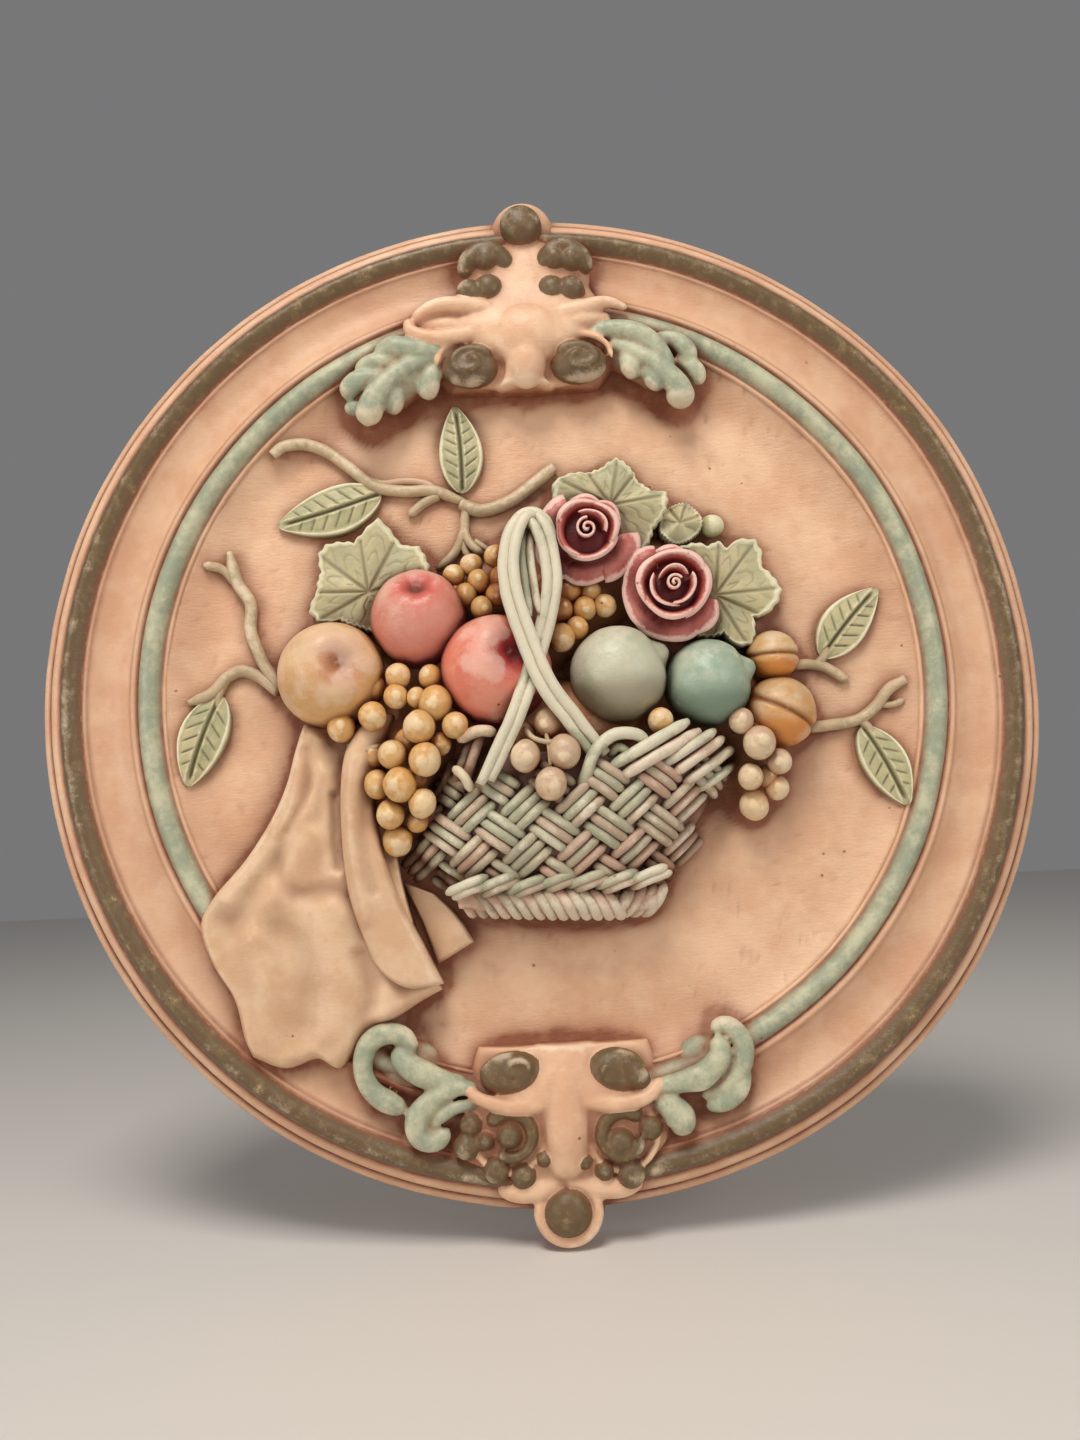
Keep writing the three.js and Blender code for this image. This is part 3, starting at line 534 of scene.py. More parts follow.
@dataclass(frozen=True)
class Finish:
    """Satin hand paint on plaster: patches of two tones, an accent, patination and painted shade in hollows, rubbed
    paint and painted highlights on proud places.
    """

    name: str
    base: Colour
    light: Colour
    accent: Colour
    shade_and_patina: Colour
    highlight_and_wear_tint: Colour
    patches: float = 42.0
    drift: float = 0.8
    shade_and_patina_share: float = 1.0
    highlight_and_wear_share: float = 0.5
    rough: float = 0.42
    grain: float = 0.35
    strokes: float = 0.3

    def material(self) -> bpy.types.Material:
        """Builds the node material."""
        made = bpy.data.materials.new(self.name)
        made.use_nodes = True
        made.node_tree.nodes.clear()
        bench = Bench(made.node_tree)
        where = bench.add("ShaderNodeTexCoord", {}, {}, "Object")
        broad = bench.cloud(where, self.patches, 4.0)
        middle = bench.cloud(where, self.patches * 4.3, 3.0)
        fine = bench.cloud(where, 950.0, 3.0, 0.7)
        brushed = self.brushed(bench, where)
        colour = self.coat(bench, where, broad, middle)
        # Painted shade with patination: hollows, creases and the ground beside raised forms turn to the dark brown, for
        # the shade that falls there and the brown wash the plaster holds.
        hollow = bench.mark("hollow") * (0.55 + 0.9 * middle)
        colour = bench.mix(colour, self.shade_and_patina, (hollow * self.shade_and_patina_share).clamped())
        # Painted highlight with rubbed paint: proud places turn to the pale tint, where light catches them and where
        # the paint is rubbed.
        highlight_and_wear_mask = (bench.mark("proud") + (middle - 0.5) * 0.9 + (fine - 0.5) * 0.5).rise(0.35, 0.9)
        colour = bench.mix(colour, self.highlight_and_wear_tint, highlight_and_wear_mask * self.highlight_and_wear_share)
        speck = self.specks(bench, where)
        colour = bench.mix(colour, self.shade_and_patina, speck * 0.8)
        rough = self.rough + (middle - 0.5) * 0.22 + hollow * 0.14 + highlight_and_wear_mask * 0.05
        height = fine * self.grain + brushed * self.strokes + middle * 0.5 - speck * 0.8
        bump = bench.add("ShaderNodeBump", {}, {"Strength": 0.6, "Distance": 0.0007, "Height": height})
        shader = bench.add("ShaderNodeBsdfPrincipled", {}, {
            "Base Color": colour, "Roughness": rough, "Normal": bump, "Specular IOR Level": 0.42})
        bench.add("ShaderNodeOutputMaterial", {}, {"Surface": shader})
        return made

    def brushed(self, bench: Bench, where: Wire) -> Wire:
        """Faint marks of the brush, drawn out along one direction."""
        laid = bench.add("ShaderNodeMapping", {}, {"Vector": where, "Rotation": (0.0, 0.6, 0.2),
                                                   "Scale": (1.0, 1.0, 5.0)})
        return bench.cloud(laid, 210.0, 2.0)

    def specks(self, bench: Bench, where: Wire) -> Wire:
        """Scattered pinholes left by air in the plaster."""
        cell = bench.add("ShaderNodeTexVoronoi", {}, {"Vector": where, "Scale": 110.0}, "Distance")
        chosen = bench.cloud(where, 60.0, 1.0).rise(0.6, 0.66)
        return (1.0 - cell.rise(0.05, 0.1)) * chosen

    def coat(self, bench: Bench, where: Wire, broad: Wire, middle: Wire) -> Wire:
        """The paint itself, before the painted shade with patination and the painted highlights with rubbed paint."""
        colour = bench.mix(self.base, self.light, (broad + (middle - 0.5) * 0.4).rise(0.36, 0.66) * self.drift)
        return bench.mix(colour, self.accent, (bench.mark("blush") + (broad - 0.5) * 0.5 + (middle - 0.5) * 0.3).rise(
            0.15, 0.85))


@dataclass(frozen=True)
class FrameFinish(Finish):
    """The peach ground with its olive and celadon ornaments, laid by the numbers "olive" and "celadon"."""

    olive: Colour = paint(104, 84, 56)
    olive_light: Colour = paint(138, 118, 82)
    celadon: Colour = paint(150, 158, 134)
    celadon_light: Colour = paint(192, 190, 160)

    def coat(self, bench: Bench, where: Wire, broad: Wire, middle: Wire) -> Wire:
        """Peach ground, then the two ornament colours with ragged edges and rubbed places."""
        colour = super().coat(bench, where, broad, middle)
        edge = bench.cloud(where, 260.0, 4.0, 0.65)
        rubbed = bench.cloud(where, 130.0, 5.0, 0.7)
        olive = bench.mix(self.olive, self.olive_light, (rubbed + (edge - 0.5) * 0.4).rise(0.48, 0.8) * 0.8)
        green = bench.mix(self.celadon, self.celadon_light, (rubbed * 0.6 + broad * 0.5).rise(0.45, 0.68))
        laid_olive = (bench.mark("olive") + (edge - 0.5) * 0.7).rise(0.4, 0.6)
        laid_green = (bench.mark("celadon") + (edge - 0.5) * 0.5).rise(0.38, 0.62)
        bare = 1.0 - rubbed.rise(0.66, 0.74) * 0.6
        colour = bench.mix(colour, green, laid_green * (1.0 - rubbed.rise(0.66, 0.76) * 0.5))
        return bench.mix(colour, olive, laid_olive * bare)


PEACH = dict(base=paint(216, 170, 136), light=paint(232, 194, 160), accent=paint(206, 152, 126),
             shade_and_patina=paint(140, 84, 58), highlight_and_wear_tint=paint(248, 226, 198))
FRAME_PAINT = FrameFinish("peach_plaster", **PEACH, highlight_and_wear_share=0.5)
FIELD_PAINT = Finish("field_plaster", **PEACH, patches=26.0, highlight_and_wear_share=0.55, strokes=0.6, grain=0.5)
CLOTH_PAINT = Finish("cloth_plaster", base=paint(208, 168, 132), light=paint(222, 190, 156),
                     accent=paint(196, 150, 118), shade_and_patina=paint(128, 84, 58), highlight_and_wear_tint=paint(240, 216, 188), highlight_and_wear_share=0.45)
SAGE_PAINT = Finish("sage_wicker", base=paint(160, 160, 134), light=paint(186, 180, 152), accent=paint(190, 154, 132),
                    shade_and_patina=paint(112, 78, 56), highlight_and_wear_tint=paint(236, 226, 202), patches=60.0, highlight_and_wear_share=0.6)
BASKET_GROUND = Finish("wicker_ground", base=paint(168, 128, 108), light=paint(176, 150, 126),
                       accent=paint(150, 138, 116), shade_and_patina=paint(92, 58, 44), highlight_and_wear_tint=paint(206, 180, 156))
TWIG_PAINT = Finish("twig_paint", base=paint(176, 156, 124), light=paint(200, 180, 146), accent=paint(200, 160, 130),
                    shade_and_patina=paint(110, 78, 56), highlight_and_wear_tint=paint(230, 214, 184), patches=80.0, highlight_and_wear_share=0.6)
LEAF_PAINT = Finish("leaf_paint", base=paint(168, 164, 126), light=paint(196, 184, 142), accent=paint(98, 100, 66),
                    shade_and_patina=paint(92, 84, 58), highlight_and_wear_tint=paint(232, 226, 196), patches=70.0, highlight_and_wear_share=0.75)
VINE_PAINT = Finish("vine_leaf_paint", base=paint(172, 168, 132), light=paint(202, 188, 144),
                    accent=paint(120, 126, 90), shade_and_patina=paint(110, 88, 60), highlight_and_wear_tint=paint(226, 222, 190), highlight_and_wear_share=0.7)
GRAPE_PAINT = Finish("grape_paint", base=paint(206, 154, 88), light=paint(214, 178, 122), accent=paint(194, 164, 136),
                     shade_and_patina=paint(142, 80, 36), highlight_and_wear_tint=paint(238, 220, 184), patches=90.0, highlight_and_wear_share=0.55, rough=0.34)
MOUND_PAINT = Finish("mound_paint", base=paint(178, 124, 84), light=paint(196, 150, 110), accent=paint(168, 108, 78),
                     shade_and_patina=paint(130, 72, 42), highlight_and_wear_tint=paint(222, 190, 150), shade_and_patina_share=0.7)
ROSE_PAINT = Finish("rose_paint", base=paint(186, 96, 88), light=paint(204, 128, 114), accent=paint(146, 34, 34),
                    shade_and_patina=paint(92, 22, 20), highlight_and_wear_tint=paint(240, 204, 190), patches=80.0, highlight_and_wear_share=0.8, rough=0.36)


def fruit_paint(name: str, base: Colour, light: Colour, accent: Colour, shade_and_patina: Colour) -> Finish:
    """A glossier coat for one fruit."""
    return Finish(name, base, light, accent, shade_and_patina, paint(240, 222, 204), patches=50.0, highlight_and_wear_share=0.3, rough=0.34)


# ---------------------------------------------------------------- heights of the whole front


class ReliefMap:
    """Heights of the whole front on a fine grid, from which hollows and proud places are read."""

    CELL = 1.5
    REACH = 246.0

    def __init__(self, clouds: Iterable[Array]) -> None:
        """Lays the highest point of every cell, then fills the gaps from the neighbours."""
        size = int(2 * self.REACH / self.CELL)
        heights = np.full((size, size), -1.0)
        for points in clouds:
            i, j = self.cells(points)
            np.maximum.at(heights, (i, j), points[:, 2])
        for _ in range(3):
            spread = np.stack([np.roll(heights, step, axis) for step in (-1, 1) for axis in (0, 1)]).max(0)
            heights = np.where(heights < 0, spread, heights)
        self.heights = np.maximum(heights, 0)
        self.known = (heights >= 0).astype(float)

    def cells(self, points: Array) -> tuple[Array, Array]:
        """Grid indices of points."""
        size = int(2 * self.REACH / self.CELL)
        return tuple(np.clip(((points[:, k] + self.REACH) / self.CELL).astype(int), 0, size - 1) for k in (0, 1))

    def around(self, points: Array, reach: float) -> Array:
        """Mean height within about reach mm of each point."""
        size = len(self.heights)
        turn = np.fft.fftfreq(size, self.CELL)
        soft = np.exp(-2 * (math.pi * reach) ** 2 * (turn[:, None] ** 2 + turn[None, :] ** 2))

        def blur(field_: Array) -> Array:
            """Gaussian blur of a grid."""
            return np.fft.ifft2(np.fft.fft2(field_) * soft).real

        level = blur(self.heights * self.known) / np.maximum(blur(self.known), 0.05)
        place = (points[:, :2] + self.REACH) / self.CELL - 0.5
        cell = np.clip(np.floor(place).astype(int), 0, size - 2)
        t = np.clip(place - cell, 0, 1)
        (i, j), (s, r) = cell.T, t.T
        return ((level[i, j] * (1 - s) + level[i + 1, j] * s) * (1 - r)
                + (level[i, j + 1] * (1 - s) + level[i + 1, j + 1] * s) * r)

    def dress(self, obj: bpy.types.Object) -> None:
        """Gives a piece its numbers "hollow", for painted shade with patination, and "proud", for painted highlights
        with rubbed paint, added to what its shape already marks.
        """
        points = relief_of(obj)
        near = self.around(points, 2.6) - points[:, 2]
        wide = self.around(points, 8.0) - points[:, 2]
        front = smooth_step(1.0, 4.0, points[:, 2])
        # Painted shade: points lower than their surroundings, such as the ground beside the fruit, darken as in contact
        # shade; points higher than them take the painted highlight.
        hollow = front * (np.clip(near / 2.6, 0, 1) * 0.6 + np.clip(wide / 9.0, 0, 1) * 0.6)
        proud = front * (np.clip(-near / 2.2, 0, 1) * 0.7 + np.clip(-wide / 10.0, 0, 1) * 0.3)
        mesh = obj.data
        for key, extra, numbers in (("hollow", "groove", hollow), ("proud", "ridge", proud)):
            total = numbers + self.own(mesh, extra)
            attribute = mesh.attributes.get(key) or mesh.attributes.new(key, "FLOAT", "POINT")
            attribute.data.foreach_set("value", np.clip(total, 0, 1).astype(np.float32))

    @staticmethod
    def own(mesh: bpy.types.Mesh, key: str) -> Array:
        """A mesh's own number at every point, 0 if it has none."""
        numbers = np.zeros(len(mesh.vertices), np.float32)
        if key in mesh.attributes:
            mesh.attributes[key].data.foreach_get("value", numbers)
        return numbers


TOP_OF_RELIEF = 0.0577


class Plaque:
    """Collects the finished pieces and says what each one is to the CAD model."""

    def __init__(self) -> None:
        """Starts with no pieces."""
        self.pieces: list[bpy.types.Object] = []

    def keep(self, obj: bpy.types.Object, material: bpy.types.Material) -> bpy.types.Object:
        """Holds a piece between the wall plane and the CAD's highest point, gives it its material and reports it."""
        points = np.empty(len(obj.data.vertices) * 3)
        obj.data.vertices.foreach_get("co", points)
        points = points.reshape(-1, 3)
        points[:, 1] = np.clip(points[:, 1], -TOP_OF_RELIEF, 0.0)
        obj.data.vertices.foreach_set("co", points.ravel())
        obj.data.update()
        obj.data.materials.clear()
        obj.data.materials.append(material)
        self.pieces.append(obj)
        LOG.info("%s: %d points, %d faces", obj.name, len(obj.data.vertices), len(obj.data.polygons))
        return obj

    def finish(self) -> None:
        """Marks hollows and proud places, then rides every piece on the plaque's body."""
        relief = ReliefMap([relief_of(piece) for piece in self.pieces])
        for piece in self.pieces:
            relief.dress(piece)
            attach(piece, "root")
        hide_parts("plaque")


# ---------------------------------------------------------------- frame and field


@dataclass
class MouldedFrame:
    """The round frame: edge, two reeds, olive bead, cove, celadon bead and the step down to the field."""

    axis_radius: float = 200.0
    segments: int = 480
    bands: tuple[tuple[float, float, float, float, float], ...] = (
        (223.2, 0.0, 223.5, 10.4, 0.9),
        (223.0, 10.8, 218.8, 14.6, 1.5),
        (218.5, 14.2, 213.4, 19.2, 1.7),
        (213.0, 19.2, 202.8, 21.4, 4.9),
        (202.6, 21.2, 200.8, 20.8, 0.5),
        (200.4, 20.8, 181.6, 22.4, -3.6),
        (181.4, 22.4, 179.0, 22.2, 0.6),
        (178.6, 21.0, 168.8, 20.6, 3.7),
        (168.3, 20.2, 166.6, 20.0, 0.5),
    )

    def section(self) -> list[tuple[float, float]]:
        """Radius and height of the turned section, from the axis at the back to the axis under the field."""
        points = [(0.0, 0.0), (222.4, 0.0)]
        for r0, h0, r1, h1, crown in self.bands:
            chord = math.hypot(r1 - r0, h1 - h0)
            out, up = (h1 - h0) / chord, (r0 - r1) / chord
            steps = max(4, round(chord / 1.1))
            for i in range(steps + 1):
                t = i / steps
                swell = crown * math.sin(math.pi * t) ** 0.8
                points.append((r0 + (r1 - r0) * t + out * swell, h0 + (h1 - h0) * t + up * swell))
        return [*points, (166.2, 8.0), (0.0, 8.0)]

    def build(self) -> bpy.types.Object:
        """Turns the section, bends it as the hand-made rim is bent, and marks the painted beads."""
        section = self.section()
        mesh = bpy.data.meshes.new("section")
        corners = [((r - self.axis_radius) * MM, h * MM, 0.0) for r, h in section]
        mesh.from_pydata(corners, [(i, i + 1) for i in range(len(corners) - 1)], [])
        source = link(bpy.data.objects.new("section", mesh))
        plain = bpy.data.materials.new("unpainted")
        turned = turning_tool().run(source, "moulded_frame", plain, {
            "Axis Radius": self.axis_radius * MM, "Segments": self.segments})
        flat = np.empty(3 * len(turned.data.vertices))
        turned.data.vertices.foreach_get("co", flat)
        x, y, z = flat.reshape(-1, 3).T / MM
        points = np.column_stack((x, -y, -z))
        radius = np.hypot(points[:, 0], points[:, 1])
        olive = smooth_step(202.2, 203.4, radius) * (1 - smooth_step(212.6, 213.6, radius))
        olive *= smooth_step(14, 16, points[:, 2])
        celadon = smooth_step(167.8, 168.8, radius) * (1 - smooth_step(178.4, 179.2, radius))
        celadon *= smooth_step(17, 18.5, points[:, 2])
        # Painted shade with patination: dark rings along the steps between the bands.
        groove = sum(np.exp(-((radius - r) / 0.9) ** 2) for r in (218.6, 213.2, 202.7, 200.6, 181.5, 178.8, 168.5))
        made = Shell(self.bent(points, radius), [tuple(face.vertices) for face in turned.data.polygons],
                     {"olive": olive, "celadon": celadon,
                      "groove": 0.55 * groove * smooth_step(10, 12, points[:, 2])})
        bpy.data.objects.remove(turned)
        return made.to_object("moulded_frame")

    def bent(self, points: Array, radius: Array) -> Array:
        """The turned points with the bulge, the waviness and the dents of the hand-made rim."""
        turn = np.arctan2(points[:, 0], points[:, 1])
        rim = smooth_step(178, 190, radius)
        bulge = 2.2 * np.exp((np.cos(turn - 0.75 * math.pi) - 1) / 0.09)
        bulge -= 1.2 * np.exp((np.cos(turn - 0.44 * math.pi) - 1) / 0.03)
        wave = noise(points, 60, 3) * 0.35 + noise(points, 14, 4) * 0.12
        shift = rim * (bulge + np.minimum(wave, 0.25)) + (1 - rim) * 0.5 * noise(points, 40, 5)
        shift *= smooth_step(60, 170, radius)
        moved = points.copy()
        moved[:, :2] *= (1 + shift / np.maximum(radius, 1))[:, None]
        front = smooth_step(9, 12, points[:, 2]) * smooth_step(160, 168, radius)
        moved[:, 2] += front * (noise(points, 45, 6) * 0.35 + noise(points, 9, 7) * 0.14 + noise(points, 3, 8) * 0.05)
        return moved


@dataclass
class Field:
    """The stuccoed ground inside the frame, rising in a small cove to the step."""

    radius: float = 167.2
    level: float = 12.6
    cells: int = 160

    def height(self, radius: Array) -> Array:
        """Height of the smooth ground at a radius."""
        return self.level + 7.0 * np.clip((radius - 148.5) / 18.7, 0, 1) ** 1.9

    def surface(self, u: Array, v: Array) -> Array:
        """Points of the stuccoed front, from a square grid drawn in to a disc."""
        a, b = 2 * u - 1, 2 * v - 1
        wide = np.abs(a) > np.abs(b)
        reach = np.where(wide, a, b)
        safe_a, safe_b = np.where(a == 0, 1e-9, a), np.where(b == 0, 1e-9, b)
        turn = np.where(wide, math.pi / 4 * b / safe_a, math.pi / 2 - math.pi / 4 * a / safe_b)
        x, z = self.radius * reach * np.cos(turn), self.radius * reach * np.sin(turn)
        points = np.column_stack((x.ravel(), z.ravel(), np.zeros(x.size)))
        lumps = (noise(points, 42, 11) * 0.5 + noise(points, 15, 12) * 0.3 + noise(points, 6, 13) * 0.15
                 + noise(points, 2.6, 14) * 0.07)
        pits = np.clip(noise(points, 3.5, 15) - 0.72, 0, 1) * -3.0
        height = self.height(np.hypot(x, z)) + (lumps + pits).reshape(x.shape)
        return np.stack((x, z, height), -1)

    def build(self) -> bpy.types.Object:
        """Makes the ground."""
        return grid_slab(self.surface, self.cells, self.cells, 7.0).to_object("stucco_field")


def ground(x: Array, z: Array) -> Array:
    """Smooth height of the field and the frame's inner bead under x, z."""
    radius = np.hypot(x, z)
    bead = 20.2 + 4.0 * np.exp(-((radius - 173.5) / 4.2) ** 2)
    return np.where(radius > 167.2, bead, Field().height(radius))


# ---------------------------------------------------------------- fruit


class FruitKind(Enum):
    """How a fruit is shaped."""

    APPLE = "apple"
    PLUM = "plum"
    FURROWED = "furrowed"


@dataclass
class Fruit:
    """One modelled fruit: centre, half-width, half-depth and the direction of its hollow, tip or furrow."""

    name: str
    kind: FruitKind
    centre: tuple[float, float, float]
    radius: float
    depth: float
    eye: tuple[float, float]
    coat: Finish
    furrow: float = 0.0

    def unit_ball(self) -> tuple[Array, list[Sequence[int]]]:
        """Directions and faces of an even ball."""
        source = ball((0, 0, 0), (1, 1, 1), sides=84)
        return source.points, source.faces

    def eye_direction(self) -> Array:
        """Unit vector from the centre to the hollow or tip."""
        a, b = self.eye
        return np.array((a, b, math.sqrt(max(0.0, 1 - a * a - b * b))))

    def build(self) -> bpy.types.Object:
        """Shapes the fruit."""
        unit, faces = self.unit_ball()
        eye = self.eye_direction()
        away = np.arccos(np.clip(unit @ eye, -1, 1))
        side = np.cross(eye, (0.3, 0.2, 1.0))
        side /= np.linalg.norm(side)
        other = np.cross(eye, side)
        round_eye = np.arctan2(unit @ other, unit @ side)
        seed = sum(map(ord, self.name))
        swell = np.ones(len(unit))
        groove = np.zeros(len(unit))
        match self.kind:
            case FruitKind.APPLE:
                swell += 0.045 * np.exp(-((away - 0.62) / 0.3) ** 2) - 0.2 * np.exp(-(away / 0.27) ** 2)
                swell += 0.014 * np.cos(5 * round_eye + 1) * np.exp(-((away - 0.45) / 0.3) ** 2)
                swell += 0.07 * np.exp(-(away / 0.075) ** 2)
                groove = np.exp(-(away / 0.24) ** 2) * 0.9
            case FruitKind.PLUM:
                swell += 0.16 * np.exp(-(away / 0.2) ** 2) - 0.035 * np.exp(-((away - 0.38) / 0.14) ** 2)
                seam = np.exp(-((unit @ side) / 0.06) ** 2) * np.exp(-(away / 0.9) ** 2)
                swell -= 0.018 * seam
            case FruitKind.FURROWED:
                line = unit[:, 1] * math.cos(self.furrow) - unit[:, 0] * math.sin(self.furrow) + 0.02
                crease = np.exp(-(line / 0.075) ** 2)
                swell -= 0.085 * crease - 0.02 * np.exp(-((np.abs(line) - 0.25) / 0.15) ** 2)
                groove = 0.8 * crease
        swell += 0.014 * noise(unit * 10, 6, seed) + 0.004 * noise(unit * 10, 1.6, seed + 1)
        points = unit * np.array((self.radius, self.radius, self.depth)) * swell[:, None] + np.array(self.centre)
        # Apples turn to the accent round the eye; the other fruit turn to the accent towards their lower side.
        blush = np.exp(-(away / 0.6) ** 2) if self.kind is FruitKind.APPLE else smooth_step(-0.2, 0.7, -unit[:, 1])
        # Painted highlight: the upper left front of each fruit turns pale where the lamp light falls; the groove of the
        # eye and the furrow takes painted shade with patination.
        ridge = 0.3 * smooth_step(0.55, 0.95, unit @ np.array((-0.3, 0.45, 0.84)))
        return Shell(points, faces, {"groove": groove, "blush": blush, "ridge": ridge}).to_object(self.name)


FRUITS = (
    Fruit("apple_left", FruitKind.APPLE, (-93, 9, 24), 23.4, 22, (0.32, 0.14), fruit_paint(
        "apple_yellow", paint(206, 158, 108), paint(220, 178, 120), paint(196, 138, 98), paint(128, 72, 40))),
    Fruit("apple_top", FruitKind.APPLE, (-54, 32, 24), 21.2, 21, (0.03, 0.6), fruit_paint(
        "apple_rose", paint(206, 128, 110), paint(214, 148, 128), paint(204, 96, 84), paint(112, 46, 38))),
    Fruit("apple_middle", FruitKind.APPLE, (-21, 7, 30), 24.2, 23, (0.36, 0.24), fruit_paint(
        "apple_red", paint(220, 124, 102), paint(226, 150, 126), paint(160, 50, 44), paint(96, 24, 22))),
    Fruit("plum_left", FruitKind.PLUM, (32, 3, 29), 21.3, 21, (0.9, 0.42), fruit_paint(
        "plum_sage", paint(178, 180, 154), paint(194, 192, 168), paint(164, 156, 132), paint(96, 84, 60))),
    Fruit("plum_right", FruitKind.PLUM, (71, -2, 26), 19.2, 20, (0.93, 0.3), fruit_paint(
        "plum_teal", paint(148, 168, 148), paint(174, 184, 164), paint(122, 142, 124), paint(74, 80, 62))),
    Fruit("small_fruit_top", FruitKind.FURROWED, (101, 9, 22), 11.4, 13, (0, 0), fruit_paint(
        "apricot_small", paint(206, 150, 88), paint(196, 170, 128), paint(214, 140, 66), paint(128, 72, 30)), 0.0),
    Fruit("small_fruit_low", FruitKind.FURROWED, (102, -16, 24), 15.8, 16, (0, 0), fruit_paint(
        "apricot_large", paint(200, 150, 96), paint(190, 168, 134), paint(210, 138, 70), paint(128, 72, 30)), -0.5),
)


@dataclass
class Mound:
    """The lumpy ground that the fruit and the grapes sit in."""

    lumps: tuple[tuple[float, float, float, float, float], ...] = (
        (-70, 6, 30, 20, 24), (-60, -22, 20, 22, 30), (-64, -46, 14, 20, 29), (-40, 8, 24, 26, 26),
        (-24, 44, 26, 20, 19), (-2, 30, 22, 24, 26), (18, 40, 24, 20, 26), (8, -16, 34, 22, 36), (50, 0, 34, 16, 26),
        (84, -8, 26, 20, 22), (92, -36, 13, 20, 21), (48, 50, 26, 20, 22), (-86, 22, 22, 14, 18))

    def build(self) -> bpy.types.Object:
        """Runs low lumps together."""
        forms = [ball((x, z, 8), (rx, rz, top - 8)) for x, z, rx, rz, top in self.lumps]
        return fuse("fruit_mound", {Coat.PEACH: forms}, 2.4)


@dataclass
class GrapeClusters:
    """The grapes beside, before and behind the basket: x, z, h and radius of each."""

    grapes: tuple[tuple[float, float, float, float], ...] = (
        (-88, -15, 32, 6), (-74, -11, 36, 6), (-63, 6, 34, 5.5), (-49, 5, 34, 5.1), (-64, -3, 36, 5.2),
        (-55, -4, 37, 4.2), (-47, -7, 38, 7.2), (-54, -17, 41, 6.8), (-39, -17, 40, 5.5), (-66, -28, 38, 6),
        (-52, -31, 42, 6.8), (-73, -40, 34, 6), (-63, -41, 40, 7.2), (-54, -49, 39, 6), (-68, -53, 35, 6),
        (-66, -64, 29, 6.4), (0, -18, 44, 6.2), (-10, -32, 49, 6.4), (6, -31, 49, 7), (0, -44, 51, 6.6),
        (48, -19, 38, 5.5), (83, -20, 34, 5.4), (90, -30, 35, 6.9), (99, -38, 30, 5.4), (86, -44, 31, 5.4),
        (98, -49, 26, 5.4), (88, -56, 25, 6.4), (-19, 59, 25, 5), (-30, 56, 23, 5), (-38, 51, 24, 5),
        (-27, 48, 26, 5), (-17, 49, 27, 5), (-33, 42, 27, 5), (-19, 41, 28, 5), (-26, 35, 29, 5),
        (5, 54, 25, 5), (4, 44, 27, 5), (13, 42, 27, 5), (9, 33, 28, 5), (19, 33, 28, 5.2), (28, 34, 28, 5),
        (8, 20, 32, 6), (-57, -38, 34, 5), (-60, -22, 33, 5.4), (-46, -24, 35, 5), (-74, -27, 31, 5),
        (-57, -56, 31, 4.8), (-38, -3, 34, 5), (-74, 2, 30, 5), (92, -22, 28, 5), (94, -44, 26, 5), (12, -22, 40, 5.4),
        (-10, -22, 41, 5), (15, 24, 30, 5), (22, 41, 26, 5), (-38, 44, 22, 5), (-10, 66, 22, 4.6), (-44, 46, 22, 5), (-39, 33, 26, 5), (-9, 33, 29, 5), (-11, 54, 26, 5),
    )

    def build(self) -> bpy.types.Object:
        """Sets a ball on every point, then presses each a little out of round."""
        table = np.array(self.grapes)
        mesh = bpy.data.meshes.new("grape_points")
        mesh.from_pydata(to_world(table[:, :3]).tolist(), [], [])
        sizes = (table[:, 3] * MM).astype(np.float32)
        mesh.attributes.new("girth", "FLOAT", "POINT").data.foreach_set("value", sizes)
        points = link(bpy.data.objects.new("grape_points", mesh))
        made = shell_of(cluster_tool().run(points, "grapes", bpy.data.materials.new("unpainted"), {"Roundness": 4}))
        bpy.data.objects.remove(bpy.data.objects["grapes"])
        each = np.argmin(((made.points[:, None, ::1] - table[None, :, :3]) ** 2).sum(-1) / table[:, 3] ** 2, axis=1)
        centre, size = table[each, :3], table[each, 3]
        unit = (made.points - centre) / size[:, None]
        lean = np.random.default_rng(7).uniform(-0.35, 0.35, (len(table), 2))[each]
        tip = np.column_stack((lean, np.sqrt(1 - (lean**2).sum(1))))
        off = np.arccos(np.clip((unit * tip).sum(1), -1, 1))
        swell = 1 + 0.05 * noise(made.points, 5, 21) + 0.05 * np.exp(-(off / 0.3) ** 2) - 0.03 * np.exp(
            -((off - 0.55) / 0.2) ** 2)
        stretch = np.array((1.0, 1.06, 1.0))
        made.points = centre + unit * swell[:, None] * size[:, None] * stretch
        middle = ((table[:, 0] > -15) & (table[:, 0] < 12) & (table[:, 1] < 0)) | (table[:, 0] > 80)
        blush = np.where(middle, 0.95, 0.15)[each] * (0.7 + 0.3 * noise(made.points, 30, 22))
        # Painted highlight with rubbed paint: a pale cap on the front of each grape.
        ridge = 0.75 * np.exp(-(off / 0.32) ** 2)
        return made.with_values(blush=blush, ridge=ridge).to_object("grapes")


# ---------------------------------------------------------------- wicker, handle and twigs


@dataclass
class Strand:
    """One round strand: points (x, z, h), half-width, and a tone 0..1 towards the accent colour."""

    path: Sequence[Sequence[float]]
    girth: float
    tone: float = 0.3
    taper: tuple[float, float] = (0.6, 0.6)
    steps: int = 14


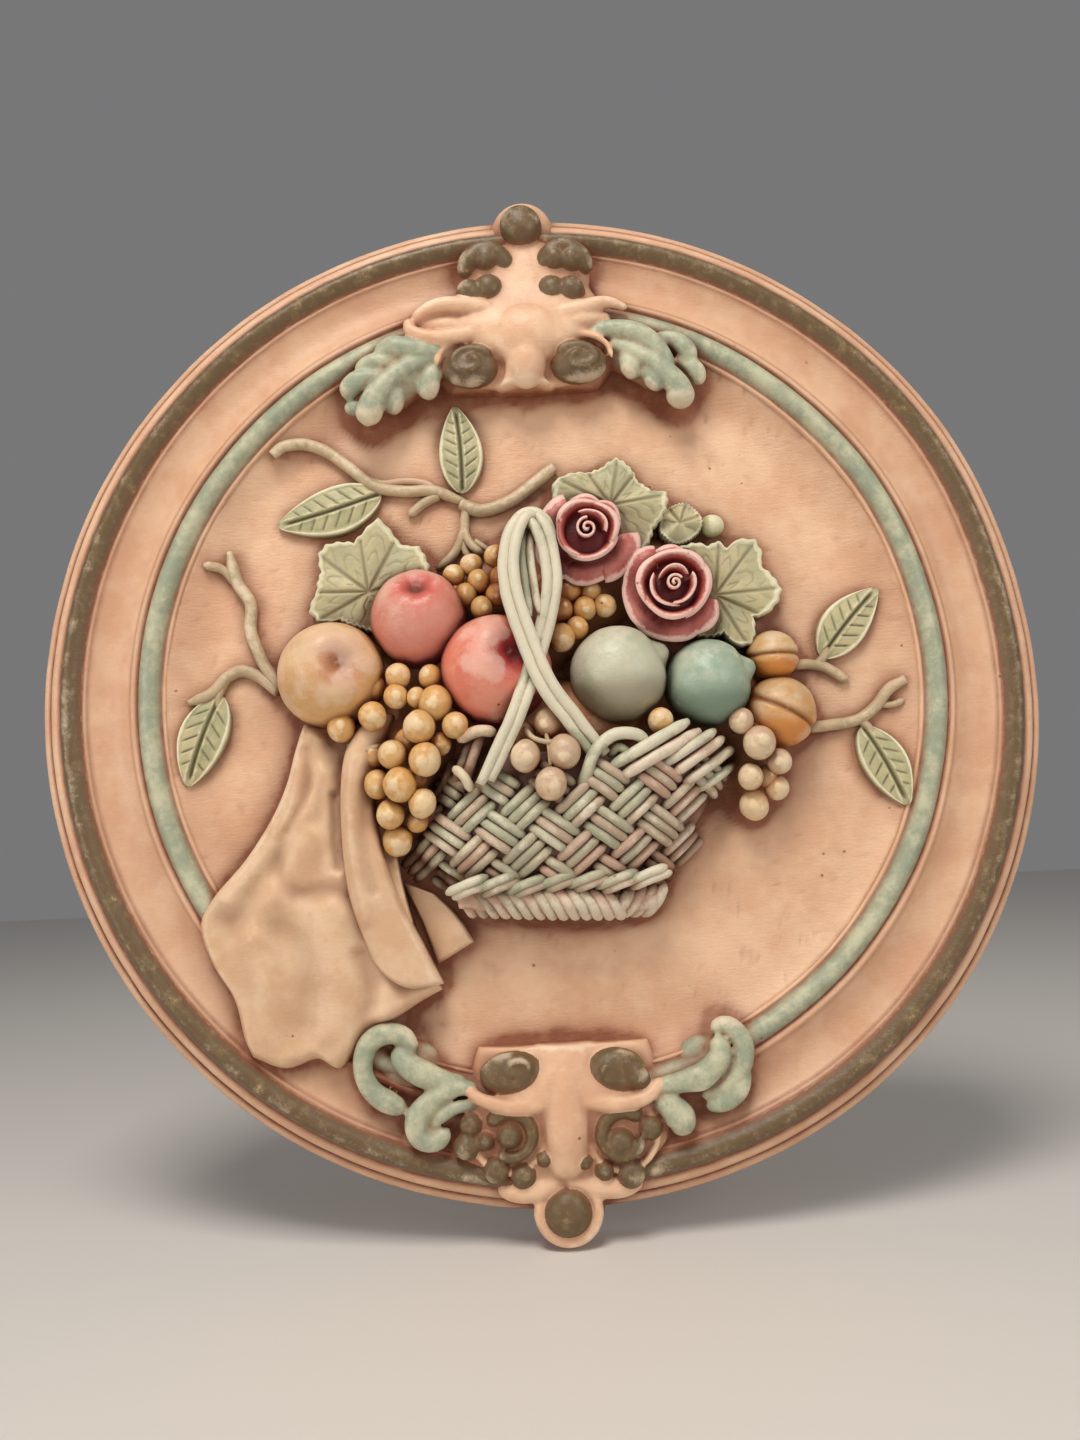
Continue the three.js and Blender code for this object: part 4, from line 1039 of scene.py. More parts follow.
def lay_strands(name: str, strands: Sequence[Strand], sides: int = 10) -> bpy.types.Object:
    """Makes all strands of one piece through the strand tool, then roughens them a little."""
    lines, girths, tones = [], [], []
    for strand in strands:
        line = curve(strand.path, strand.steps + 1)
        t = np.linspace(0, 1, len(line))
        start, end = strand.taper
        ends = 1 - (1 - start) * np.exp(-(t / 0.07) ** 2) - (1 - end) * np.exp(-((1 - t) / 0.07) ** 2)
        lines.append(line)
        girths.append(strand.girth * MM * ends)
        tones.append(np.full(len(line), strand.tone))
    source = guide(name + "_lines", lines, {"girth": girths, "blush": tones})
    made = strand_tool().run(source, name, bpy.data.materials.new("unpainted"), {"Sides": sides})
    shell = shell_of(made)
    bpy.data.objects.remove(made)
    seed = sum(map(ord, name))
    for axis in range(3):
        shell.points[:, axis] += 0.16 * noise(shell.points, 4.5, seed + axis)
    return shell.to_object(name)


@dataclass
class Basket:
    """The woven basket: its bowl, the crossings, the rim of wrapped strands, the plaited foot and the handle."""

    strand: float = 2.15
    pitch_x: float = 22.5
    pitch_z: float = 19.5
    shape: tuple[tuple[float, float, float, float], ...] = (
        (-92, -38, 43, 31), (-80, -47, 52, 39), (-68, -59, 62, 44), (-56, -58, 70, 47), (-44, -50, 79, 48),
        (-30, -44, 84, 47))

    def reach(self, z: Array | float) -> tuple[Array, Array, Array]:
        """Left edge, right edge and front height of the bowl at a height z."""
        table = np.array(self.shape)
        return tuple(np.interp(z, table[:, 0], table[:, k]) for k in (1, 2, 3))

    def front(self, x: Array | float, z: Array | float) -> Array:
        """Height of the bowl's front at x, z."""
        left, right, front = self.reach(z)
        s = np.clip(np.abs((2 * np.asarray(x) - left - right) / (right - left)), 0, 1)
        return 14 + (front - 14) * np.sqrt(1 - s * s)

    def bowl(self) -> bpy.types.Object:
        """The ground behind the weave."""
        rows = [(z, left + 1, right - 1, 12, front - 2.2) for z, left, right, front in reversed(self.shape)]
        made = loft(rows, 8.0, 90, 60)
        top = made.points[:, 2] > 9
        made.points[top, 2] += 0.5 * noise(made.points[top], 4, 31)
        return made.to_object("basket_bowl")

    def crossing(self, x: float, z: float, slope: float, length: float) -> list[Strand]:
        """Three strands side by side, arched over the ones below."""
        turn = math.radians(slope)
        a, b = math.cos(turn), math.sin(turn)
        made = []
        for k in (-1, 0, 1):
            s = 2 * self.strand * 0.98 * k
            path = []
            for t in np.linspace(-0.5, 0.5, 7):
                px, pz = x + a * t * length + b * s, z + b * t * length - a * s
                lift = 2.3 * math.cos(math.pi * t) ** 0.8 - 1.5
                path.append((px, pz, float(self.front(px, pz)) + lift))
            tone = 0.15 + 0.35 * (math.sin(12.9 * x + 7.1 * z + 3 * k) > 0.5) + 0.3 * (x > 40) + 0.2 * (z < -70)
            made.append(Strand(path, self.strand, tone, (0.75, 0.75), 10))
        return made

    def weave(self) -> bpy.types.Object:
        """All crossings of the plain weave, set on the slant."""
        strands: list[Strand] = []
        rows = [(-43.0, -36, 0.5, 15.5), (-53.0, 40, 11.5, 18), (-62.75, -36, 0.5, 18), (-72.5, 40, 11.5, 18),
                (-82.0, -34, 0.5, 15)]
        for z, slope, start, length in rows:
            left, right, _ = self.reach(z)
            for column in range(-4, 5):
                x = start + column * self.pitch_x
                if left - 3 < x < right + 2:
                    strands += self.crossing(x, z, slope, length)
        return lay_strands("basket_weave", strands)

    def bowed(self, start: tuple[float, float], end: tuple[float, float], rise: float = 3.5,
              sag: float = 0.0) -> list[tuple[float, float, float]]:
        """Points over the bowl from start to end, bowed outwards."""
        (x0, z0), (x1, z1) = start, end
        path = []
        for t in np.linspace(0, 1, 7):
            x, z = x0 + (x1 - x0) * t, z0 + (z1 - z0) * t - sag * math.sin(math.pi * t)
            path.append((x, z, float(self.front(x, z)) + rise * math.sin(math.pi * t)))
        return path

    def rim(self) -> bpy.types.Object:
        """The thick strands wrapped over the rim and the small arch beside the grapes."""
        pairs = [((25, -38), (59, -20), 2.6, 0.1), ((29, -42.5), (64, -24), 2.6, 0.6), ((47, -38), (71, -24), 2.3, 0.2),
                 ((51, -42), (75, -27), 2.4, 0.7), ((56, -46), (80, -31), 2.3, 0.5), ((62, -49), (84, -36), 2.1, 0.3),
                 ((-36, -41), (-28, -20), 2.2, 0.8), ((-41, -42), (-33, -24), 2.2, 0.5),
                 ((-47, -44), (-41, -31), 2.0, 0.3), ((-52, -50), (-44, -38), 2.0, 0.8)]
        strands = [Strand(self.bowed(a, b), girth, tone) for a, b, girth, tone in pairs]
        arch = [(12, -47, 45), (15, -40, 48), (19, -31, 50), (27, -25, 50), (36, -25, 48), (42, -29, 44)]
        strands.append(Strand(arch, 2.7, 0.0, (0.7, 0.5), 22))
        ring = [(25, -33, 45), (29, -30, 47), (33, -33, 46), (36, -38, 44)]
        strands.append(Strand(ring, 1.9, 0.1))
        strands.append(Strand([(27, -38, 46), (30, -34.5, 47.5), (35, -34, 46)], 1.6, 0.1))
        return lay_strands("basket_rim", strands, 12)

    def foot(self) -> bpy.types.Object:
        """The plaited row and the twisted rope at the foot."""
        strands: list[Strand] = [Strand([(-41, -90.5, 25), (2, -92.8, 29), (43, -95.2, 25)], 4.6, 0.8, (0.8, 0.8), 40)]
        for k in range(18):
            t = (k + 0.5) / 18
            x, z = -42.5 + 87 * t, -90.6 - 4.6 * t
            side = math.sin(math.pi * min(max(t, 0.07), 0.93)) ** 0.25
            lean = 1 if k < 14 else -1
            path = [(x - 5.2, z + 5.0 * lean, 29 * side), (x - 2.2, z + 3.4 * lean, 35.0 * side),
                    (x + 1.4, z - 0.4 * lean, 36.5 * side), (x + 4.0, z - 4.6 * lean, 33.0 * side),
                    (x + 5.0, z - 6.6 * lean, 28 * side)]
            strands.append(Strand(path, 2.75, 0.5 + 0.3 * (k % 3 == 0), (0.5, 0.5), 12))
        for k, x in enumerate((-37, -24.5, -12, 0.5, 13, 25.5, 38)):
            z = -83.6 + 0.8 * math.sin(2.3 * k)
            over = [(x - 8.5, z - 3.4, 34), (x - 3, z - 1.0, 39), (x + 4, z + 1.4, 39.5), (x + 9, z + 2.6, 35.5)]
            low = [(x - 6, z - 5.6, 33), (x, z - 3.0, 38.5), (x + 7, z - 0.8, 37.5), (x + 11, z, 34)]
            strands += [Strand(over, 2.0, 0.2, (0.5, 0.5)), Strand(low, 1.9, 0.5, (0.5, 0.5))]
        return lay_strands("basket_foot", strands)

    def handle(self) -> bpy.types.Object:
        """Two hoops, each of strands laid side by side, crossing below the bound top."""
        front = [(0, 62, 36), (-2, 69, 42), (-7, 69, 47), (-11.5, 60, 49), (-13.5, 45, 50.5), (-10.5, 27, 52.5),
                 (-1, -1, 53.5), (10, -18, 51.5), (21, -33, 47)]
        back = [(-7, 62, 36), (-5, 70, 42), (0, 67, 46.5), (3.5, 56, 46), (4.5, 40, 46.5), (0.5, 22, 46), (-6, 3, 49),
                (-13, -15, 51.5), (-27, -42, 48)]
        inner = [(-4, 66, 42), (-6, 56, 45.5), (-5, 40, 47), (-3.5, 27, 49)]

        def beside(path: list[tuple[float, float, float]], off: float, lift: float) -> list[tuple[float, ...]]:
            """The same path a little to one side."""
            return [(x + off, z + 0.3 * off, h + lift) for x, z, h in path]

        strands = [
            Strand(beside(front, -2.1, 0), 2.5, 0.0, (0.7, 0.9), 46), Strand(beside(front, 2.2, 0.8), 2.4, 0.3,
                                                                             (0.7, 0.9), 46),
            Strand(beside(back, -2.1, 0.6), 2.35, 0.1, (0.7, 0.9), 46), Strand(beside(back, 2.1, 0), 2.3, 0.25,
                                                                              (0.7, 0.9), 46),
            Strand(beside(inner, -1.7, 0), 1.8, 0.2, (0.7, 0.4), 24), Strand(beside(inner, 1.9, -0.4), 1.7, 0.4,
                                                                            (0.7, 0.4), 24)]
        strands.append(Strand([(-12, 62, 41), (-9, 69.5, 44), (-3, 72.5, 44), (3, 69, 44), (6, 60, 42)], 2.5, 0.1,
                              (0.7, 0.7), 24))
        return lay_strands("basket_handle", strands, 14)

    def build(self, plaque: Plaque) -> None:
        """Makes and paints the whole basket."""
        sage = SAGE_PAINT.material()
        plaque.keep(self.bowl(), BASKET_GROUND.material())
        for piece in (self.weave(), self.rim(), self.foot(), self.handle()):
            plaque.keep(piece, sage)


@dataclass
class Twigs:
    """The bare twigs on the field and the little stalks among the fruit."""

    def on_ground(self, pairs: Sequence[tuple[float, ...]], girth: float, taper: tuple[float, float] = (0.7, 0.6),
                  tone: float = 0.3) -> Strand:
        """A twig that lies on the field; a third number lifts a point."""
        path = [(p[0], p[1], float(ground(np.array(p[0]), np.array(p[1]))) + girth * 0.75 + (p[2] if len(p) > 2 else 0))
                for p in pairs]
        return Strand(path, girth, tone, taper, max(12, 6 * len(pairs)))

    def build(self) -> bpy.types.Object:
        """Makes every twig."""
        lay = self.on_ground
        strands = [
            lay([(-118, 112), (-113, 116), (-104, 117.5), (-94, 114), (-84, 106), (-73, 97), (-60, 94), (-46, 93.5),
                 (-33, 88)], 2.7, (0.9, 0.7)),
            lay([(-80, 102), (-70, 98.5), (-58, 99), (-49, 97), (-42, 91)], 1.7, (0.5, 0.5), 0.5),
            lay([(-44, 91), (-51, 88), (-58, 82.5)], 2.2, (0.9, 0.3)),
            lay([(-34, 87), (-26, 83.5), (-18, 84.5), (-9, 88.5), (0, 95), (9, 102)], 3.1, (0.9, 0.9)),
            lay([(-31, 88), (-32.5, 80), (-33, 74), (-38, 64), (-46, 57)], 2.2, (0.9, 0.4)),
            lay([(-33, 77), (-31, 69, 2), (-25, 62, 4)], 1.9, (0.9, 0.4)),
            lay([(-33, 73), (-33, 66, 1), (-30, 60, 3)], 1.6, (0.9, 0.4)),
            lay([(-28, 69, 2), (-22, 64, 4), (-17, 61, 6)], 1.4, (0.9, 0.4)),
            lay([(-139, 69), (-136, 55), (-130, 45), (-130, 32), (-125, 18), (-116, 5, 3)], 2.8, (0.5, 0.9)),
            lay([(-150, 63), (-142, 61), (-137, 55)], 2.1, (0.4, 0.9)),
            lay([(-118, 4, 2), (-126, 11), (-134, 14.5), (-141, 12), (-148, 5), (-158, 1)], 2.7, (0.9, 0.5)),
            lay([(-141, 12), (-145, 4), (-145, -3)], 2.0, (0.9, 0.6)),
            lay([(110, 5, 5), (119, 6), (127, 4), (136, -2)], 2.4, (0.9, 0.7)),
            lay([(122, 5), (126, 9), (128, 14)], 2.0, (0.9, 0.6)),
            lay([(113, -23, 6), (126, -22), (139, -20), (148, -14), (154, -7), (161, -3)], 2.6, (0.9, 0.8)),
            lay([(140, -20), (144, -24), (146, -30)], 2.0, (0.9, 0.6)),
            lay([(147, -13), (155, -14), (160, -12)], 1.6, (0.9, 0.3)),
        ]
        return lay_strands("twigs", strands, 12)

    def stalks(self) -> bpy.types.Object:
        """The bits of stalk between the grapes and the fruit."""
        strands = [
            Strand([(-57, -11, 36), (-48, -10, 39), (-44, -11, 37)], 1.4, 0.2),
            Strand([(-38, -23, 39), (-29, -20, 42), (-22, -21, 43)], 2.6, 0.6, (0.6, 0.5)),
            Strand([(-10, -20, 46), (-6, -25, 50), (1, -27, 51), (5, -24, 47)], 1.1, 0.2),
            Strand([(-1, -23, 48), (0, -30, 51), (0, -37, 50)], 1.0, 0.4),
            Strand([(-40, -35, 42), (-36, -39, 45), (-33, -45, 44)], 2.1, 0.1),
            Strand([(-86, -22, 30), (-80, -25, 33), (-72, -24, 35)], 1.5, 0.3),
        ]
        return lay_strands("stalks", strands)


# ---------------------------------------------------------------- leaves


@dataclass
class Leaf:
    """A pointed leaf with an incised midrib and side veins and a raised edge."""

    base: tuple[float, float]
    tip: tuple[float, float]
    half: float
    bend: float = 0.0
    lift: float = 4.6
    veins: int = 7

    def surface(self, u: Array, v: Array) -> Array:
        """Points of the leaf's front."""
        return self.shaped(u, v)[0]

    def shaped(self, u: Array, v: Array) -> tuple[Array, Array, Array]:
        """Points of the front, how deep each lies in a vein and how proud on an edge."""
        (x0, z0), (x1, z1) = self.base, self.tip
        dx, dz = x1 - x0, z1 - z0
        length = math.hypot(dx, dz)
        across = 2 * u - 1
        width = 0.35 + self.half * np.sin(math.pi * v**0.9) ** 0.7 * (1 - 0.22 * v)
        s = (width * across + self.bend * np.sin(math.pi * v)) / length
        x, z = x0 + dx * v + dz * s, z0 + dz * v - dx * s
        off = np.abs(across) * width
        midrib = np.exp(-(off / 0.75) ** 2) * smooth_step(0, 0.06, v) * (1 - smooth_step(0.86, 0.98, v))
        beside = np.exp(-((off - 1.7) / 0.8) ** 2)
        phase = v * self.veins - off / self.half * 1.5
        gap = np.abs(phase - np.round(phase)) * length / self.veins
        side = np.exp(-(gap / 0.55) ** 2) * smooth_step(1.0, 2.0, off) * (1 - smooth_step(0.62, 0.86, np.abs(across)))
        side = side * smooth_step(0.08, 0.16, v) * (1 - smooth_step(0.8, 0.9, v))
        border = smooth_step(0.76, 0.92, np.abs(across))
        swell = self.lift * np.sin(math.pi * np.clip(v, 0.02, 0.98)) ** 0.45 * (1 - 0.35 * across**2)
        rim = np.sqrt(np.clip(1 - ((np.abs(across) - 0.9).clip(0) / 0.1) ** 2, 0, 1))
        height = swell + 0.55 * border + 0.4 * beside - 1.15 * midrib - 0.6 * side - 1.6 * (1 - rim)
        vein = np.clip(midrib + 0.8 * side, 0, 1)
        return np.stack((x, z, ground(x, z) + 0.8 + height), -1), vein, np.clip(border * rim + 0.5 * beside, 0, 1)

    def build(self) -> Shell:
        """Makes the leaf."""
        across, along = 50, 84
        made = grid_slab(self.surface, across, along, 10.0)
        u, v = np.meshgrid(np.linspace(0, 1, across + 1), np.linspace(0, 1, along + 1))
        _, vein, proud = self.shaped(u, v)
        twice = lambda a: np.r_[a.ravel(), a.ravel()]
        low = np.hypot(*made.points[:, :2].T) > 166
        made.points[:, 2] = np.where(made.points[:, 2] == 10.0, np.where(low, 16.0, 10.0), made.points[:, 2])
        seed = int(abs(self.base[0]))
        front = made.points[:, 2] > 16.01
        made.points[front, 2] += 0.18 * noise(made.points[front], 5, seed)
        # Veins turn to the dark accent and take painted shade with patination; the raised border takes painted
        # highlights with rubbed paint.
        return made.with_values(groove=0.7 * twice(vein), ridge=0.9 * twice(proud), blush=0.75 * twice(vein))


@dataclass
class VineLeaf:
    """A lobed vine leaf: centre, height, outline points, and the directions of its main veins in degrees."""

    centre: tuple[float, float]
    height: float
    outline: tuple[tuple[float, float], ...]
    veins: tuple[float, ...]
    rings: int = 38
    turns: int = 220

    def reach(self, turn: Array) -> Array:
        """Distance from the centre to the outline in each direction."""
        cx, cz = self.centre
        around = np.array([(math.atan2(z - cz, x - cx), math.hypot(x - cx, z - cz)) for x, z in self.outline])
        around = around[np.argsort(around[:, 0])]
        angle = np.r_[around[-1, 0] - TAU, around[:, 0], around[0, 0] + TAU]
        length = np.r_[around[-1, 1], around[:, 1], around[0, 1]]
        return np.interp(np.mod(turn + math.pi, TAU) - math.pi, angle, length) + 0.35 * np.sin(turn * 37)

    def build(self) -> Shell:
        """Makes the leaf as rings round the stalk end, closed over a flat underside."""
        turn = np.arange(self.turns) * TAU / self.turns
        share = (np.arange(1, self.rings + 1) / self.rings)[:, None]
        length = self.reach(turn)[None, :]
        along = share * length
        dx, dz = along * np.cos(turn), along * np.sin(turn)
        vein = np.zeros_like(along)
        side = np.zeros_like(along)
        lean = np.stack([np.cos(turn - math.radians(angle)) for angle in self.veins])
        nearest = lean.argmax(axis=0)
        for number, angle in enumerate(self.veins):
            a = math.radians(angle)
            forward, across = dx * math.cos(a) + dz * math.sin(a), np.abs(dz * math.cos(a) - dx * math.sin(a))
            mine = (nearest == number)[None, :] & (np.cos(turn - a)[None, :] > 0.5)
            vein = np.maximum(vein, np.exp(-(across / 0.8) ** 2) * (forward > 0) * (share < 0.93))
            phase = (forward - 0.8 * across + 0.8 * np.sin(across)) / 6.5
            gap = np.abs(phase - np.round(phase)) * 6.5
            side = np.maximum(side, np.exp(-(gap / 0.6) ** 2) * mine * smooth_step(1, 2.5, across) * (share < 0.86))
        edge = smooth_step(0.86, 0.96, share) * (1 - smooth_step(0.97, 1.0, share) * 0.3)
        puff = 1.1 * np.sin(turn * 5 + self.centre[0]) * share
        drop = 1.8 * smooth_step(0.96, 1.0, share)
        height = self.height + puff - 0.9 * vein - 0.35 * side + 0.7 * edge - drop + 1.4 * (1 - share)
        cx, cz = self.centre
        top = np.stack((cx + dx, cz + dz, height), -1).reshape(-1, 3)
        top[:, 2] += 0.35 * noise(top, 7, int(abs(cx)))
        low = top[-self.turns:].copy()
        low[:, 2] = 11.0
        points = np.vstack((top, low, ((cx, cz, self.height + 0.2), (cx, cz, 11.0))))
        faces: list[Sequence[int]] = []
        hub, under = len(points) - 2, len(points) - 1
        for k in range(self.turns):
            n = (k + 1) % self.turns
            faces.append((hub, k, n))
            faces.append((under, self.rings * self.turns + n, self.rings * self.turns + k))
            faces += [(r * self.turns + k, (r + 1) * self.turns + k, (r + 1) * self.turns + n, r * self.turns + n)
                      for r in range(self.rings)]
        rest = np.zeros(self.turns + 2)
        # Veins turn to the dark accent and take painted shade with patination; the raised edge takes painted highlights
        # with rubbed paint.
        deep = np.r_[np.clip(vein + 0.7 * side, 0, 1).ravel(), rest]
        proud = np.r_[np.broadcast_to(edge, vein.shape).ravel(), rest]
        return Shell(points, faces, {"groove": 0.35 * deep, "blush": 0.45 * deep, "ridge": 0.7 * proud})


@dataclass
class Foliage:
    """Every leaf: the plain ones on the twigs and the vine leaves behind the fruit."""

    def plain(self) -> Shell:
        """The five plain leaves."""
        return Shell.join(leaf.build() for leaf in (
            Leaf((-70, 93.5), (-117, 80), 12.2, -1.5, veins=8), Leaf((-33, 92), (-35, 133), 10.8, 1.0, veins=8),
            Leaf((-144, 4), (-158, -36), 11.0, 1.0, veins=7), Leaf((125, 9), (152, 39), 11.2, -1.0, veins=7),
            Leaf((141, -23), (156, -59), 10.2, -1.0, veins=7)))

    def vine(self) -> Shell:
        """The three vine leaves and the two small ones between them."""
        left = VineLeaf((-76, 46), 22.5, (
            (-78, 73), (-71, 80), (-63, 70), (-60, 67), (-53, 66), (-48, 51), (-55, 40), (-66, 28), (-80, 30),
            (-89, 34), (-99, 34), (-103, 39), (-99, 47), (-97, 56), (-98, 65), (-95, 69), (-82, 69)),
            (10, 62, 97, 140, 178, 207))
        top = VineLeaf((33, 80), 25, (
            (8, 92), (18, 96), (24, 96), (30, 98), (37, 102), (44, 96), (46, 91), (52, 86), (59, 85), (58, 77),
            (52, 69), (48, 60), (30, 60), (14, 72), (8, 84)), (8, 50, 78, 120, 150))
        right = VineLeaf((77, 37), 25, (
            (62, 60), (71, 62), (76, 60), (80, 62), (84, 58), (88, 62), (97, 62), (100, 56), (99, 50), (103, 46),
            (107, 38), (105, 33), (100, 28), (94, 27), (94, 18), (92, 14), (85, 14), (80, 20), (66, 20), (58, 38)),
            (4, 50, 82, 118, 300, 335))
        small = VineLeaf((64, 71), 23, ((55, 67), (56, 74), (60, 79), (67, 80), (72, 77), (74, 70), (70, 65),
                                        (60, 62)), (20, 70, 120), 20, 120)
        bud = ball((79, 70.5, 18), (5.6, 5.2, 5.6)).with_values(ridge=0.2)
        return Shell.join((left.build(), top.build(), right.build(), small.build(), bud))

    def build(self, plaque: Plaque) -> None:
        """Makes and paints all leaves."""
        plaque.keep(self.plain().to_object("twig_leaves"), LEAF_PAINT.material())
        plaque.keep(self.vine().to_object("vine_leaves"), VINE_PAINT.material())


# ---------------------------------------------------------------- roses


def thick_sheet(front: Array, thickness: float, **numbers: Array) -> Shell:
    """A sheet of points, shape (rows, columns, 3), made solid by a back face at a given distance.

    Args:
        front: Points of the front; columns run to the right of rows seen from the front.
        thickness: Thickness in mm.
        numbers: Named numbers of the front's points.

    Returns:
        The closed sheet.
    """
    normal = np.cross(np.gradient(front, axis=1), np.gradient(front, axis=0))
    normal /= np.maximum(np.linalg.norm(normal, axis=2, keepdims=True), 1e-9)
    rows, columns = front.shape[:2]
    back = front - normal * thickness
    index = np.arange(rows * columns).reshape(rows, columns)
    a, b, c, d = (index[s].ravel() for s in (
        np.s_[:-1, :-1], np.s_[:-1, 1:], np.s_[1:, 1:], np.s_[1:, :-1]))
    edge = np.r_[index[0, :-1], index[:-1, -1], index[-1, :0:-1], index[:0:-1, 0]]
    after, count = np.roll(edge, -1), rows * columns
    faces = np.vstack((np.column_stack((a, b, c, d)), np.column_stack((d, c, b, a)) + count,
                       np.column_stack((edge, edge + count, after + count, after))))
    values = {key: np.r_[number.ravel(), number.ravel()] for key, number in numbers.items()}
    return Shell(np.vstack((front.reshape(-1, 3), back.reshape(-1, 3))), faces.tolist(), values)


@dataclass
class Rose:
    """A modelled rose: spread outer petals, cupped inner ones and a rolled heart."""

    centre: tuple[float, float]
    height: float
    outer: float
    cup: float
    turn: float
    roll: float
    petals: tuple[tuple[float, float, float], ...]
    inner: tuple[tuple[float, float], ...]

    def petal(self, turn: float, span: float, start: float, reach: float, low: float, rise: float,
              curl: float) -> Shell:
        """One petal.

        Args:
            turn: Direction of its middle in degrees.
            span: Half its width in degrees.
            start: Distance of its foot from the centre.
            reach: Distance of its lip from the centre.
            low: Height of its foot.
            rise: How far its lip stands above its foot.
            curl: How far the lip turns over.

        Returns:
            The closed petal.
        """
        u, v = np.meshgrid(np.linspace(-1, 1, 33), np.linspace(0, 1, 21))
        angle = math.radians(turn) - math.radians(span) * u * (0.7 + 0.3 * v)
        lip = smooth_step(0.72, 1.0, v)
        out = start + (reach - start) * v**1.15 * (1 - 0.13 * u**2 * v) + curl * 0.35 * lip
        out = out * (1 + 0.035 * np.sin(3.3 * u + turn) * v)
        height = low + rise * np.sin(np.clip(v * 1.05, 0, 1) * math.pi / 2) ** 1.3 - curl * lip**1.5
        height = height - 1.8 * u**4 * v + 0.7 * np.sin(2.4 * u + turn) * v
        cx, cz = self.centre
        front = np.stack((cx + out * np.cos(angle), cz + out * np.sin(angle), height), -1)
        # Towards its foot each petal turns to the dark crimson and takes painted shade with patination; its lip takes
        # painted highlights with rubbed paint.
        return thick_sheet(front, 1.25, ridge=smooth_step(0.84, 0.99, v), blush=0.9 * (1 - smooth_step(0.1, 0.9, v)),
                           groove=0.45 * (1 - smooth_step(0.0, 0.5, v)))

    def heart(self) -> Shell:
        """The rolled heart: a thin wall wound in a spiral, highest in the middle."""
        u, v = np.meshgrid(np.linspace(0, 1, 110), np.linspace(0, 1, 9))
        angle = -math.radians(self.turn) - u * TAU * 1.7
        out = 0.8 + self.roll * u * (0.88 + 0.12 * v)
        cx, cz = self.centre
        height = self.height - 1.0 + (9.6 - 1.8 * u) * v
        front = np.stack((cx + out * np.cos(angle), cz + out * np.sin(angle), height), -1)
        # Towards its bottom the heart turns to the dark crimson and takes painted shade with patination.
        return thick_sheet(front, -1.05, ridge=smooth_step(0.8, 1.0, v), blush=1 - smooth_step(0.3, 1.0, v),
                           groove=0.6 * (1 - v))

    def build(self) -> Shell:
        """Makes the whole rose."""
        cx, cz = self.centre
        # Painted shade: the ball under the petals is dark crimson and shaded, showing dark in the gaps between them.
        parts = [self.heart(), ball((cx, cz, self.height - 5), (self.outer * 0.72, self.outer * 0.72, 6)).with_values(
            blush=1.0, groove=0.7)]
        for turn, span, reach in self.petals:
            parts.append(self.petal(turn, span, 3.0, reach, self.height - 5.0, 3.6, 2.4))
        for k, off in enumerate((0, 96, 178, 268)):
            parts.append(self.petal(self.turn + off, 58, self.cup * 0.62, self.cup + 0.5 * (k % 2), self.height - 3.0,
                                    10.0 - 0.8 * (k % 2), 1.4))
        for off, reach in self.inner:
            parts.append(self.petal(self.turn + off, 66, reach * 0.6, reach, self.height - 3.0, 11.0, 0.6))
        return Shell.join(parts)


ROSES = (
    Rose((21, 65), 36.5, 22, 13.2, 20, 4.6, ((155, 40, 22), (215, 38, 23), (270, 36, 22), (325, 36, 24), (95, 36, 17),
                                            (40, 34, 17)), ((30, 8.6),)),
    Rose((57, 39.5), 36.5, 21, 15.2, 75, 3.4, ((150, 42, 21.5), (205, 38, 22), (262, 40, 23.5), (310, 34, 23),
                                              (95, 36, 18), (30, 38, 17.5)), ((140, 10.8), (20, 7.6), (250, 9.2))),
)


# ---------------------------------------------------------------- crest and pendant


class Coat(Enum):
    """Which paint an ornament's form carries."""

    PEACH = "peach"
    OLIVE = "olive"
    CELADON = "celadon"


def fuse(name: str, forms: dict[Coat, list[Shell]], voxel: float = 0.8) -> bpy.types.Object:
    """Runs forms together into one skin, softened as cast plaster is, and marks the paint each place carries.

    Args:
        name: Name of the piece.
        forms: Closed forms for each paint.
        voxel: Fineness of the skin in mm.

    Returns:
        The piece, with the numbers "olive" and "celadon".
    """
    groups = {coat: Shell.join(shells) for coat, shells in forms.items() if shells}
    rough = Shell.join(Shell(g.points, g.faces) for g in groups.values()).to_object(name + "_forms")
    modifier = rough.modifiers.new("one_skin", "REMESH")
    modifier.mode = "VOXEL"
    modifier.voxel_size = voxel * MM
    mesh = bpy.data.meshes.new_from_object(rough.evaluated_get(bpy.context.evaluated_depsgraph_get()))
    bpy.data.objects.remove(rough)
    skin = shell_of(bpy.data.objects.new("skin", mesh))
    points = softened(skin.points, mesh, 3)
    away = {}
    for coat, group in groups.items():
        tree = BVHTree.FromPolygons(group.points.tolist(), [tuple(face) for face in group.faces])
        away[coat] = np.array([tree.find_nearest(Vector(point))[3] for point in points])
    far = np.full(len(points), 99.0)
    marks = {}
    for coat in (Coat.OLIVE, Coat.CELADON):
        others = np.min([d for c, d in away.items() if c is not coat], axis=0)
        marks[coat.value] = smooth_step(-0.5, 0.5, others - away.get(coat, far))
    points = points + (noise(points, 8, 51) * 0.22 + noise(points, 3, 52) * 0.08)[:, None] * np.array((0.3, 0.3, 1.0))
    points[:, 2] = np.clip(points[:, 2], 0.2, 57)
    return Shell(points, skin.faces, marks).to_object(name)


